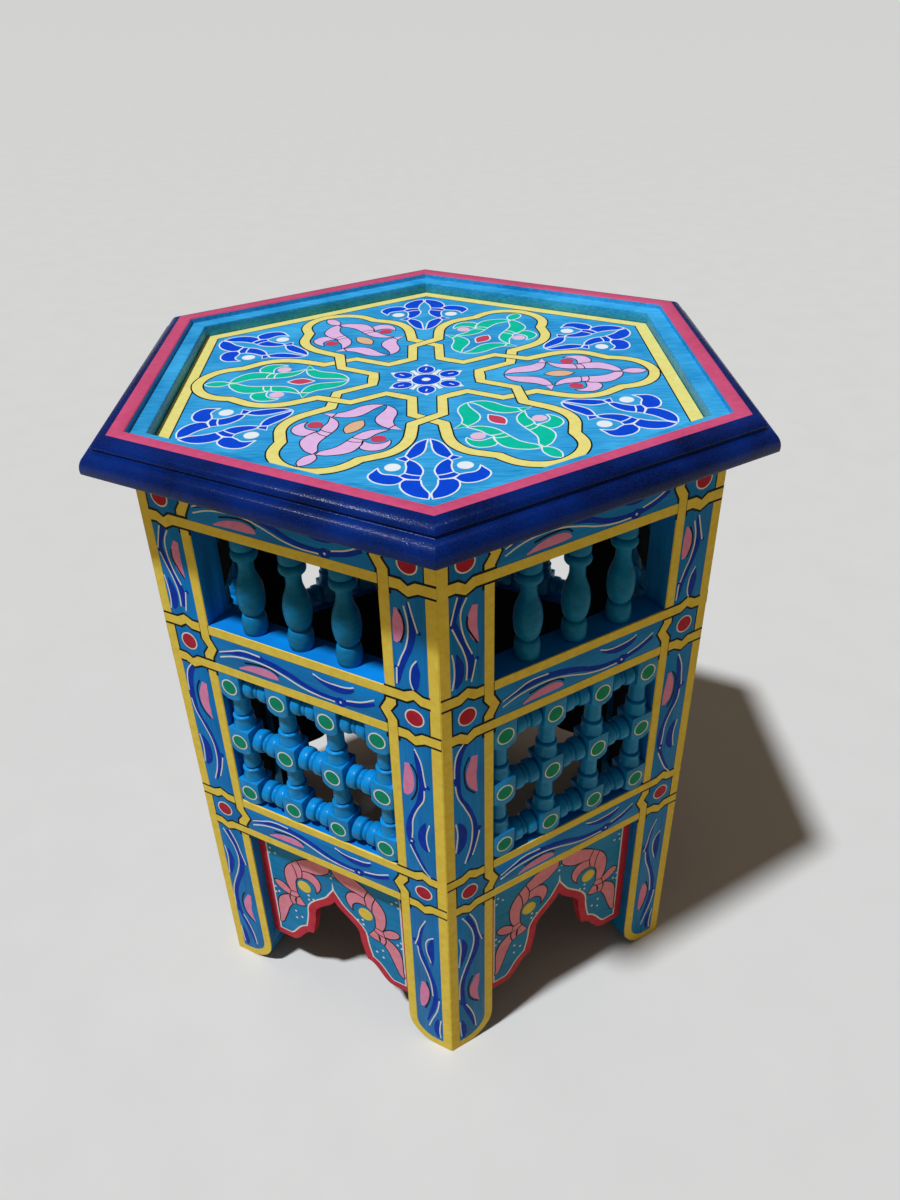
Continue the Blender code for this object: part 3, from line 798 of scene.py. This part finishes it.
sprig(0,
      [(79.4, 288, 1.5), (80.8, 282, 3.2), (82.6, 272, 4), (83.8, 264, 4.4), (82.8, 256, 4),
       (79.8, 245, 3.2), (75.8, 236, 3.2), (73, 226, 4), (72.5, 216, 4), (74.4, 208.5, 3), (79, 197, 2.4),
       (83.6, 187, 2.6), (86, 182.5, 0.6)],
      [[(79.5, 289.5), (83.5, 280), (85, 270), (86, 262)],
       [(85, 258.5), (84, 250), (79, 240), (75.5, 230), (75, 221), (74.5, 214)],
       [(73, 207), (77, 198), (81.5, 189), (86.2, 183)]],
      [(87.2, 262, 1.6), (74, 211, 2.4)],
      [(73.8, 276.5, 3), (74.8, 270, 5.8), (74.8, 263, 7.4), (73.6, 255, 6.4), (72, 250.5, 3)],
      [(76.5, 276.5), (79.5, 272), (80.3, 262), (78.5, 253), (75.5, 247)],
      [(84, 231, 1), (82.4, 225, 4.6), (81.6, 217.5, 6), (82.8, 210, 4.6), (85, 206, 1)],
      [(86.8, 230.5), (84.8, 222), (85, 214), (86.5, 207.5)])
sprig(0,
      [(80.4, 138, 1), (77.4, 129, 2.6), (75.2, 117, 3), (75.2, 107, 3.2), (78.6, 93, 3), (82.6, 81, 3),
       (85.2, 70, 3.4), (86, 60, 3.6), (85, 49, 3.4), (82, 38, 3), (78, 25, 1)],
      [[(80.5, 138), (76, 127), (74, 116), (71.8, 108.5)],
       [(73.7, 107.5), (75, 97), (79, 85), (82.5, 72), (84, 58)],
       [(89, 55.5), (87, 43), (82.5, 30), (79, 19.5)],
       [(89.4, 32), (88.2, 24), (87.8, 16), (88.6, 10)]],
      [(71.9, 113, 2), (88.4, 56.5, 1.5)],
      [(76.5, 69.5, 3), (77.4, 62, 7), (77.2, 54, 7.4), (75.8, 46, 5.4), (74.6, 40.5, 2)],
      [(79, 71), (81.5, 62), (80.6, 51), (77, 39)],
      [(85.5, 121, 1.5), (84.4, 115, 4), (83.8, 107, 5), (84.4, 100, 3.6), (84.6, 93, 0.8)],
      [(86.2, 123), (81.5, 118), (80.3, 109), (83.5, 95)])
brush(side_royal, [(87, 32, 1), (85.6, 24, 4), (85.6, 16, 4.4), (86.6, 10, 1.6)])

# The left leg of a side, in the same order.
sprig(0,
      [(-83, 393.5, 3.5), (-86.5, 386, 3.8), (-88.6, 379, 4.2), (-87.5, 375, 4), (-84, 367, 3.5),
       (-80.5, 358, 3.6), (-78, 351, 4.5), (-78, 344, 3.6), (-79, 339, 2)],
      [[(-85.5, 394), (-88, 386), (-90.2, 378)],
       [(-80, 392), (-83.5, 385), (-83.8, 376), (-81.5, 366), (-77, 355)],
       [(-89.4, 375.5), (-86.5, 368), (-82.5, 358), (-80.5, 349), (-81, 338.5)],
       [(-74.7, 350.5), (-76, 344), (-77.8, 336)]],
      [(-89.4, 380.5, 1.2), (-73.8, 350.8, 1.3)],
      [(-75, 386, 3.5), (-76.6, 379, 6), (-76.4, 371, 5.6), (-74.6, 364.5, 3.6), (-73, 361.5, 0.8)],
      [(-79.8, 380), (-80, 374), (-77, 367), (-73.5, 361)],
      [(-87, 358, 1), (-85.5, 352, 4.4), (-85, 346, 5.4), (-86, 339, 4.6), (-87.6, 335, 1.5)],
      [(-89.8, 359), (-88.6, 351), (-88.6, 342), (-90, 335)])
sprig(0,
      [(-81, 293.5, 2.5), (-85, 287, 4), (-87.6, 276, 4.2), (-88, 268, 4.2), (-87.6, 261, 3.6),
       (-86, 252, 3), (-81.6, 243, 3.2), (-78, 232, 3.8), (-76.4, 222, 4.4), (-76.6, 212, 4),
       (-78.6, 203, 3), (-82, 194, 1.2)],
      [[(-83.2, 294), (-87.4, 288), (-89.4, 280), (-90, 270)],
       [(-89.6, 263.5), (-88, 254), (-83, 242), (-79, 231), (-78, 220), (-79.5, 207), (-83.5, 194)],
       [(-73, 217), (-75.5, 207), (-78.2, 198.5)]],
      [(-89.2, 267, 1.5), (-73, 220, 1.6)],
      [(-75.6, 281, 4), (-77.4, 273, 6.6), (-78.2, 266, 7), (-76.8, 258, 5), (-74.4, 252, 1)],
      [(-79.5, 282), (-82.6, 275), (-83, 266), (-81.4, 258), (-76, 251)],
      [(-87.4, 232, 1.2), (-85.4, 226, 5), (-84.8, 218, 6), (-86.2, 210, 4.6), (-88.6, 205.6, 1.2)],
      [(-89.5, 232), (-88.4, 224), (-89, 215), (-90, 207.5)])
sprig(0,
      [(-83, 143, 3), (-79.4, 133, 3.4), (-76.6, 122, 4), (-75.6, 112, 4.6), (-77, 102, 4), (-82, 90, 3.4),
       (-86, 79, 3.6), (-88, 69, 4), (-88, 60, 4), (-86.6, 49, 3.4), (-83, 37, 3.2), (-79.4, 26, 3.4),
       (-77.6, 16, 1.5)],
      [[(-86.4, 143), (-82, 134), (-78.5, 123), (-78, 112), (-81, 100), (-86, 87), (-89.2, 76), (-90.2, 64),
        (-90.2, 57)],
       [(-80.5, 144), (-76.5, 134), (-74, 121), (-71.5, 111)],
       [(-85, 47.5), (-81, 38), (-78, 27), (-76.7, 15)],
       [(-90, 30), (-89.6, 22), (-89, 12)]],
      [(-71.4, 113, 1.6), (-88.4, 51.5, 1.9)],
      [(-74.8, 75, 3), (-77, 67, 6.4), (-78.4, 60, 6.4), (-77.2, 52, 4.6), (-74.2, 45, 0.8)],
      [(-79, 76.5), (-82.2, 69), (-83, 60), (-81, 51), (-75, 44)],
      [(-86.5, 121, 1.5), (-85.2, 113, 4.6), (-86, 105, 4.6), (-87.4, 98, 2.6), (-88.6, 93, 0.8)],
      [(-89.2, 123), (-88, 112), (-89.2, 101), (-90.2, 93)])
brush(side_royal, [(-88.4, 31, 1), (-87, 23, 3.6), (-86.6, 14, 4), (-87, 9, 1.6)])

on_six_sides("side_flowers_white", white_paint, (side_white, 0.06), (side_white_top, 0.15))
on_six_sides("side_flowers_royal", royal_paint, (side_royal, 0.10))
on_six_sides("side_flowers_pink", pink_paint, (side_pink, 0.12))
on_six_sides("side_flowers_navy", navy_paint, (side_navy, 0.14))
on_six_sides("side_dots_red", dot_red_paint, (side_red, 0.11))
on_six_sides("side_dots_green", green_paint, (side_green, 0.11))


# Flowers on the aprons: two pink scrolls that mirror each other, finely edged in black, each curled
# round a yellow dot, with groups of three white dots in the open ground.
scroll_pink_paint = artist_paint("apron_pink_paint", "#fda0ba", "#f292ac")


def outlined(spline, points, width, height=0):
    """Gives a closed spline its points, (across, up) where it is rounded and (across, up, 0) where sharp."""
    spline.use_cyclic_u = True
    spline.resolution_u = 4
    spline.bezier_points.add(len(points) - 1)
    for knot, (across, up, *sharp) in zip(spline.bezier_points, points):
        lay(knot, across, up, height, width, "sharp" if sharp else "round")


def leaf(shapes, border, points, rim):
    """Adds a shape, filled in flat, to a list of shapes, and its edge line to another coat."""
    shape = bpy.data.curves.new("leaf", "CURVE")
    shape.dimensions = "2D"
    shape.fill_mode = "FRONT"
    outlined(shape.splines.new("BEZIER"), points, 1000)
    shapes.append(shape)
    outlined(border.splines.new("BEZIER"), points, rim, lift(border))


apron_pink = []
apron_black, apron_yellow, apron_white = coats(3)
small_dot = 0.95
# From the rail down: the upper leaf, the collar, the curl, the long leaf, the side bud, the knot, the
# thorn, the second collar and the lower leaf.
scroll = [
    [(1, 139.5, 0), (1.6, 132), (6, 127.3), (13.2, 123.3), (19.2, 122.3), (26.4, 120.9, 0), (28.2, 125.5),
     (30, 129.7, 0), (24.2, 133.6), (17.2, 137.2), (9, 140)],
    [(30, 129.7, 0), (35.6, 124.9, 0), (32.8, 117.5), (31.8, 109.5, 0), (27.6, 112.3, 0), (26.6, 120.5)],
    [(26.4, 120.7, 0), (19.2, 122), (14.2, 120), (11, 114.5), (11.2, 109.5), (13.7, 104.5),
     (16.2, 101.5, 0), (16, 106.5), (18.2, 110.5), (22.2, 112.7), (27.4, 112.5, 0)],
    [(35.7, 125, 0), (40.2, 119.5), (43, 112.5), (43.2, 105.5), (42.2, 98.5), (39.7, 92.5, 0),
     (33.7, 93.5, 0), (33.9, 99.5), (33.5, 105.5), (31.8, 109.5, 0), (32.8, 117.5)],
    [(39.7, 92.5, 0), (43.2, 96), (48.2, 98.5), (53.2, 97.5), (54, 95), (51.2, 91), (46.2, 88),
     (41.2, 87, 0)],
    [(33.7, 93.5, 0), (39.7, 92.3, 0), (41.4, 86.6, 0), (35.7, 87, 0), (32.4, 89.5, 0)],
    [(32.2, 89.5, 0), (27.2, 82, 0), (32.2, 79.5), (36.6, 79, 0), (35.7, 86.8, 0)],
    [(35.7, 86.8, 0), (41.4, 86.4, 0), (41.7, 81.5), (39.9, 77, 0), (36.5, 78.9, 0), (37, 83.5)],
    [(42, 87, 0), (47.7, 83.5), (52.2, 78.5), (54.4, 71.5), (54.8, 63.5), (54.8, 55.5), (55.6, 48, 0),
     (53, 48.4), (49.2, 55.5), (46.2, 63.5), (43.7, 70.5), (40.2, 77, 0), (41.8, 81.5)]]
trios = [[(49.2, 127.7), (54.4, 126), (53.2, 131.5)], [(54.6, 88.4), (51.6, 84.5), (54.8, 82.3)],
         [(38.2, 70), (32.9, 65.7), (38.2, 62)], [(23.5, 95.6), (19.4, 93.2), (23.8, 90.8)]]
for side in (-1, 1):
    for shape in scroll:
        leaf(apron_pink, apron_black, [(side * u, v, *sharp) for u, v, *sharp in shape], 0.85)
    dot(apron_yellow, side * 26.4, 103.5, 5.7)
    for trio in trios:
        for across, up in trio:
            dot(apron_white, side * across, up, small_dot)
for across, up in ((-2.2, 131), (1.9, 130.5), (-0.6, 126.6)):
    dot(apron_white, across, up, small_dot)
# The white line is drawn out to a thorn over the point of the arch.
brush(apron_white, [(0, 113.4, 2.2), (0, 116.2, 1.5), (0, 119, 0.9), (0, 121.6, 0.3)])

on_six_sides("apron_scrolls_pink", scroll_pink_paint, (apron_pink, 0.10), depth=apron_depth)
on_six_sides("apron_scrolls_black", black_paint, (apron_black, 0.14), depth=apron_depth)
on_six_sides("apron_dots_yellow", yellow_paint, (apron_yellow, 0.16), depth=apron_depth)
on_six_sides("apron_dots_white", white_paint, (apron_white, 0.08), depth=apron_depth)


# Top frame: six moulded lengths mitred at the corners and rebated for the panel. The moulding is a
# thick, glossy navy enamel over open grain, the rim is red, and the inner step is turquoise.
navy_enamel = brushed_enamel("navy_gloss_enamel", "#042e84", "#010a2c", (1.8, 1.8, 1.8), 0.36, 0.00022, 0.14)
rim_paint = brushed_enamel("rim_red_enamel", "#e05c84", "#d04c74", (0.4, 0.4, 1), 0.38, 0.00005)
turquoise_top = brushed_enamel("turquoise_enamel_top", "#48bcf4", "#168cca", (0.12, 1, 1), 0.4, 0.00005)
frame_paints = [navy_enamel, rim_paint, turquoise_top]
frame_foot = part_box("top_frame")[0][2]
# The step ends, and the rim ends, at these distances from the middle; the rim lies above this height.
step_end = 0.1684
rim_end = 0.1773
rim_height = 0.0185


def arc(centre, radii, start, stop, steps):
    """Points on a quarter round of a section, by angle from straight up."""
    angles = [math.radians(start + (stop - start) * k / steps) for k in range(steps + 1)]
    return [(centre[0] + radii[0] * math.sin(a), centre[1] + radii[1] * math.cos(a)) for a in angles]


# The section, as (distance from the middle of a side, height over the underside), in millimetres.
section = [(168.2, 16), (168.2, 19.2), (169, 20), (177, 20)]
section += arc((178.2, 12.6), (7.4, 6.9), 0, 74, 6)
section += [(184.7, 13.9), (184.7, 12.9)]
section += arc((184.7, 3.5), (7.9, 9.2), 4, 105, 9)
section += [(191.7, 1.5), (190.8, 1.5), (190.8, 0), (164, 0), (164, 7.3), (158, 7.3), (158, 15.4),
            (158.6, 16)]
outline = bpy.data.curves.new("top_frame_moulded", "CURVE")
outline.dimensions = "3D"
profile = outline.splines.new("POLY")
profile.points.add(len(section) - 1)
profile.use_cyclic_u = True
for knot, (reach, up) in zip(profile.points, section):
    knot.co = (0, -reach / 1000 / math.cos(TURN / 2), frame_foot + up / 1000, 1)
moulding = placed("top_frame_moulded", outline)
spun(moulding, 6, 0.00001)
paint_over(moulding, frame_paints)
for face in moulding.data.polygons:
    across = math.hypot(face.center.x, face.center.y)
    if across < step_end:
        face.material_index = 2
    elif across < rim_end and face.center.z > frame_foot + rim_height:
        face.material_index = 1
reshaped(moulding, "BEVEL", width=0.0004, segments=2, limit_method="ANGLE", angle_limit=math.radians(40))
bpy.ops.object.shade_smooth_by_angle(angle=math.radians(35))
dress(moulding, frame_paints, "frame_paint", "top_frame")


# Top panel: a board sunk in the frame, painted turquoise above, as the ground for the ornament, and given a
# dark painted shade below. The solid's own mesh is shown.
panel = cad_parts["top_panel"]
paint_over(panel, [turquoise_top, inside_painted_shade])
# The underside takes the dark painted shade.
for face in panel.data.polygons:
    face.material_index = 1 if face.normal.z < -0.5 else 0
panel_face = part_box("top_panel")[1][2]


# Star of interlaced lines on the panel: two endless yellow lines, edged in black, that go over and
# under each other between six petals, inside a yellow border. The painter set it a little off centre.
top_yellow_paint = artist_paint("top_yellow_paint", "#faeb8c", "#f2df7a")
set_off = (-1.5, -1.0)
panel_hand = 9
line_width = 6.6
edged_width = 8.5
star_yellow, star_black, star_yellow_over, star_black_over = coats(4)


def about(points, degrees, flip=1):
    """Points of one petal or corner, mirrored if wanted, and turned to their place on the panel."""
    c, s = math.cos(math.radians(degrees)), math.sin(math.radians(degrees))
    return [(x * c - y * flip * s, x * s + y * flip * c, *rest) for x, y, *rest in points]


def on_panel(name, paint, *layers, shift=set_off):
    """Dries layers of (coat, height), and joins them to one piece on the face of the panel."""
    films = [dried(coat, height) for coat, height in layers]
    for film in films:
        by_hand(film.data, panel_hand)
    joined(name, films, paint)
    films[0].data.transform(Matrix.Translation((shift[0] / 1000, shift[1] / 1000, panel_face)))


# Half of one line, from the tip of a petal, round its side, and in to the middle of the next flat end.
half_line = [(146.2, 0), (144.8, 7.5), (140.6, 15.6), (134, 21.8), (126.5, 24.8)]
lobe = [(120.6, 26), (114.8, 30.6), (107, 36), (97, 38.4), (87, 37.2), (77, 33), (67.5, 28.3)]
inward = [(67.5, 28.3), (46.4, 37.3), (24.8, 25), (17, 29.4)]
for k in range(6):
    for flip, yellow, black in ((1, star_yellow_over, star_black_over), (-1, star_yellow, star_black)):
        for route, bend in ((half_line + lobe[:1], "round"), (lobe, "round"), (inward, "sharp")):
            line(yellow, about(route, 60 * k, flip), line_width, bend)
            line(black, about(route, 60 * k, flip), edged_width, bend)
        for x, y in about([lobe[0], lobe[-1]], 60 * k, flip):
            dot(yellow, x, y, line_width / 2)
            dot(black, x, y, edged_width / 2)
    # A touch of the brush closes each line at the tip of its petal.
    (x, y), = about(half_line[:1], 60 * k)
    dot(star_yellow_over, x, y, line_width / 2)
    dot(star_black, x, y, edged_width / 2)

border_black, border_yellow = coats(2)
for k in range(6):
    for coat, reach, width in ((border_yellow, 153.4, 8.4), (border_black, 148.9, 0.8)):
        # Each stroke runs on to the mitre, so that two of them close the outer corner.
        half = (reach + width / 2) * math.tan(TURN / 2)
        line(coat, about([(reach, -half), (reach, half)], 60 + 60 * k), width, "sharp")
on_panel("panel_border_yellow", top_yellow_paint, (border_yellow, 0.06), shift=(0, 0))
on_panel("panel_border_black", black_paint, (border_black, 0.07), shift=(0, 0))
on_panel("panel_star_yellow", top_yellow_paint, (star_yellow, 0.10), (star_yellow_over, 0.18))
on_panel("panel_star_black", black_paint, (star_black, 0.08), (star_black_over, 0.15))


# Petals of the star: a scrolled flower in each, pink edged in black and green edged in white by turns,
# with a lens between its leaves and a dot in each of its two curls.
top_pink_paint = artist_paint("top_pink_paint", "#f2c6ee", "#ecbae6")
top_green_paint = artist_paint("top_green_paint", "#08ccaa", "#08c09e")
top_red_paint = artist_paint("top_red_paint", "#d64a66", "#cc4060")
orange_paint = artist_paint("orange_lens_paint", "#f2c29a", "#ecb68c")
pale_pink_paint = artist_paint("pale_pink_dot_paint", "#f4cde2", "#eec2da")
# Half of a flower: the inner leaf, its thorn, the outer leaf and the curl.
petal_shapes = [
    [(49.5, 0.4, 0), (50.6, 4.4), (53, 8.8), (58, 12.6), (64.5, 14.8), (69.5, 17), (73, 20, 0),
     (78.6, 19.2, 0), (77.2, 13), (74.2, 8), (69.5, 4.8), (63.5, 3.6), (57, 3), (52.5, 1.8)],
    [(73.4, 20.2, 0), (77, 27.8, 0), (79.4, 19.6, 0)],
    [(79.2, 21, 0), (83.5, 18.8), (88, 17), (94, 16.3), (98.8, 14.6, 0), (103, 16.6), (108.5, 17.6),
     (113.5, 17.2), (118, 14.8), (121.6, 11), (124.6, 6.4), (126, 0.8, 0), (121, 0.8), (117, 3.4),
     (112, 5.8), (106, 6.6), (98, 6.9), (91, 7.8), (86, 10.2), (82, 14.4)],
    [(99.2, 15.6, 0), (103, 17), (107.4, 18), (109, 21.4), (108, 26.2), (104.4, 30.3), (98.6, 31.4),
     (93, 29.8), (91, 28, 0), (96, 26.8), (99, 23.6), (99.6, 19.6)]]
petal_rings = [[(98, 6.9), (98, 11.5), (96.6, 16)], [(103, 6.8), (102.6, 11.6), (100.6, 15.6)]]
bud = [(124.8, 0, 0), (128.6, 4), (133.4, 5), (138.4, 3.8), (142, 0.8, 0), (138.4, -2.8), (133.4, -3.8),
       (128.6, -2.8)]
orange_lens = [(75, 0, 0), (80, 4), (86, 5), (91.5, 3.6), (95.4, 0.8, 0), (91, -3.6), (85, -5),
               (79.5, -3.8)]
red_lens = [(71.5, 0, 0), (76, 3.4), (80.2, 5), (85, 3.6), (89, 0, 0), (85, -3.6), (80.2, -5), (76, -3.4)]
petal_pink, petal_green, lens_orange, lens_red = [], [], [], []
petal_black, panel_white, panel_white_top, dot_red, dot_pale = coats(5)
curl_dot = 4.5
for k in range(6):
    pink = k % 2 == 0
    coat, border, rim = (petal_pink, petal_black, 0.65) if pink else (petal_green, panel_white_top, 0.8)
    for flip in (1, -1):
        for shape in petal_shapes:
            leaf(coat, border, about(shape, 60 * k, flip), rim)
        for ring in petal_rings:
            line(border, about(ring, 60 * k, flip), rim)
        (x, y), = about([(93, 21.6)], 60 * k, flip)
        dot(dot_red if pink else dot_pale, x, y, curl_dot)
    leaf(coat, border, about(bud, 60 * k), rim)
    if pink:
        leaf(lens_orange, petal_black, about(orange_lens, 60 * k), 0.6)
    else:
        leaf(lens_red, panel_white_top, about(red_lens, 60 * k), 0.9)


# Corner fleurs: royal blue with white edges, one in each corner of the panel, curled round white dots.
top_royal_paint = artist_paint("top_royal_paint", "#064ee0", "#0646d0")
# Half of a fleur: the inner leaf, its thorn, the middle leaf, the collar, the end petal and the curl.
fleur_shapes = [
    [(93.4, 0.5, 0), (95.4, 4), (99, 7.2), (104, 9.6), (109, 11.4), (114.4, 13, 0), (118.6, 10.4, 0),
     (115.6, 6.4), (112, 3.6), (107, 2), (100, 1.3)],
    [(114.8, 13.2, 0), (117.6, 18, 0), (121.4, 12.6, 0), (118.9, 10.8, 0)],
    [(119.2, 10.6, 0), (122.4, 12.6), (127.6, 12.2), (133, 12.6), (135, 13.2, 0), (137.4, 8.6),
     (138.6, 4, 0), (134, 3), (129.6, 3.6), (125.4, 5.2), (121.6, 7.8)],
    [(135, 13.2, 0), (138.2, 16, 0), (141.8, 12), (143.2, 5, 0), (138.6, 4, 0), (137.4, 8.6)],
    [(142.6, 12.4, 0), (145, 14.6), (149.4, 15.4), (154.4, 14.4), (158.7, 12), (162.6, 7.6), (165, 1, 0),
     (159, 0.5), (153.7, 2.6), (149, 4), (143.6, 4.4, 0)],
    [(142.4, 13, 0), (147.4, 17), (148, 22), (145.8, 27.4), (141.6, 31.4), (136.6, 32.4), (132, 30),
     (128, 27.6, 0), (132.4, 26.6), (135.6, 24), (136.6, 20), (138, 15.8, 0)]]
panel_royal = []
for k in range(6):
    for flip in (1, -1):
        for shape in fleur_shapes:
            leaf(panel_royal, panel_white_top, about(shape, 30 + 60 * k, flip), 0.95)
        (x, y), = about([(127.7, 19.6)], 30 + 60 * k, flip)
        dot(panel_white_top, x, y, curl_dot)


# Middle flower: a royal blue disc with a white eye, six blue petals tipped white, and white petals
# between them. It too is a little off the middle of the star.
disc_royal, = coats(1)
eye = (-0.1, -3.4)
half_petal = [(11.2, 2.4), (14, 5), (18, 5.5), (21.5, 4.2), (23.8, 1.4)]
petal = half_petal + [(x, -y) for x, y in reversed(half_petal)]


def in_flower(points, degrees):
    """Points of one petal of the middle flower, at their place on the panel."""
    return [(x + eye[0], y + eye[1], *rest) for x, y, *rest in about(points, degrees)]


dot(panel_white, *eye, 10)
dot(disc_royal, *eye, 9)
dot(panel_white_top, *eye, 2.8)
for k in range(6):
    leaf(panel_royal, panel_white_top, in_flower(petal, 30 + 60 * k), 0.75)
    brush(panel_white_top, in_flower([(23.4, 0, 3.6), (24.8, 0, 3.2), (26.6, 0, 0.6)], 30 + 60 * k))
    line(panel_white_top, in_flower([(16.4, 0.4), (20, -0.4)], 30 + 60 * k), 0.9)
    brush(panel_white_top, in_flower([(10, 0, 3.6), (14.4, 0, 2.6), (18.4, 0, 3.2)], 60 * k))

on_panel("panel_petals_pink", top_pink_paint, (petal_pink, 0.10))
on_panel("panel_petals_black", black_paint, (petal_black, 0.14))
on_panel("panel_petals_green", top_green_paint, (petal_green, 0.10))
on_panel("panel_petals_red", top_red_paint, (lens_red, 0.11), (dot_red, 0.12))
on_panel("panel_petals_orange", orange_paint, (lens_orange, 0.11))
on_panel("panel_dots_pale", pale_pink_paint, (dot_pale, 0.12))
on_panel("panel_white", white_paint, (panel_white, 0.06), (panel_white_top, 0.14))
on_panel("panel_royal", top_royal_paint, (panel_royal, 0.10), (disc_royal, 0.09))


# Stage: a pale paper floor that runs far back, one lamp high on the left, dim light all round, and the
# camera where the photographer stood.
floor_paper, floor_tree = blank("pale_paper")
floor_place = add(floor_tree, "ShaderNodeTexCoord").outputs["Object"]
# A faint mottle 60 mm across keeps the paper from looking like a screen.
mottle = grain(floor_tree, floor_place, 0.06, 2)
paper = tinted(floor_tree, mottle, linear("#dedad4"), linear("#e4e0da"))
# The lens sees pale paper. The light that the paper throws back on the table is that of a dim room.
path = add(floor_tree, "ShaderNodeLightPath")
seen = path.outputs["Is Camera Ray"]
for ray in ("Is Glossy Ray", "Is Transmission Ray"):
    seen = add(floor_tree, "ShaderNodeMath", {0: seen, 1: path.outputs[ray]}, operation="MAXIMUM").outputs[0]
paper = tinted(floor_tree, seen, linear("#b6a27a"), paper)
surface(floor_tree, {"Base Color": paper, "Roughness": 0.9})
bpy.ops.object.select_all(action="DESELECT")
bpy.ops.mesh.primitive_plane_add(size=120)
floor = bpy.context.object
floor.name = "floor"
floor.data.materials.append(floor_paper)

world = bpy.data.worlds.new("studio")
bpy.context.scene.world = world
world.use_nodes = True
world.node_tree.nodes["Background"].inputs["Color"].default_value = linear("#ffeacf")
world.node_tree.nodes["Background"].inputs["Strength"].default_value = 0.12

bpy.ops.object.light_add(type="SUN")
key_lamp = bpy.context.object
key_lamp.name = "key_lamp"
key_lamp.data.energy = 3.05
key_lamp.data.color = linear("#eef6ff")[:3]
key_lamp.data.angle = math.radians(4)
key_lamp.rotation_euler = Vector((-0.33, -0.22, 1)).to_track_quat("Z", "Y").to_euler()

# The camera's angles, and its place along its own axes in the unit of the fit, as solved from the photo.
view_turn = math.radians(-1.01)
view_tilt = math.radians(34.10)
view_roll = math.radians(-1.43)
view_unit = 0.20494
back = Vector((math.sin(view_turn) * math.cos(view_tilt), -math.cos(view_turn) * math.cos(view_tilt),
               math.sin(view_tilt)))
level_right = Vector((math.cos(view_turn), math.sin(view_turn), 0))
level_up = back.cross(level_right)
right = math.cos(view_roll) * level_right + math.sin(view_roll) * level_up
up = -math.sin(view_roll) * level_right + math.cos(view_roll) * level_up
stand = (back * 4.218 + right * 0.022 + up * 1.071) * view_unit
lens_data = bpy.data.cameras.new("camera")
lens_data.sensor_fit = "VERTICAL"
lens_data.sensor_height = 36
lens_data.lens = 28.956
camera = placed("camera", lens_data)
camera.matrix_world = Matrix.Translation(stand) @ Matrix((right, up, back)).transposed().to_4x4()
bpy.context.scene.camera = camera
bpy.context.scene.view_settings.view_transform = "Standard"
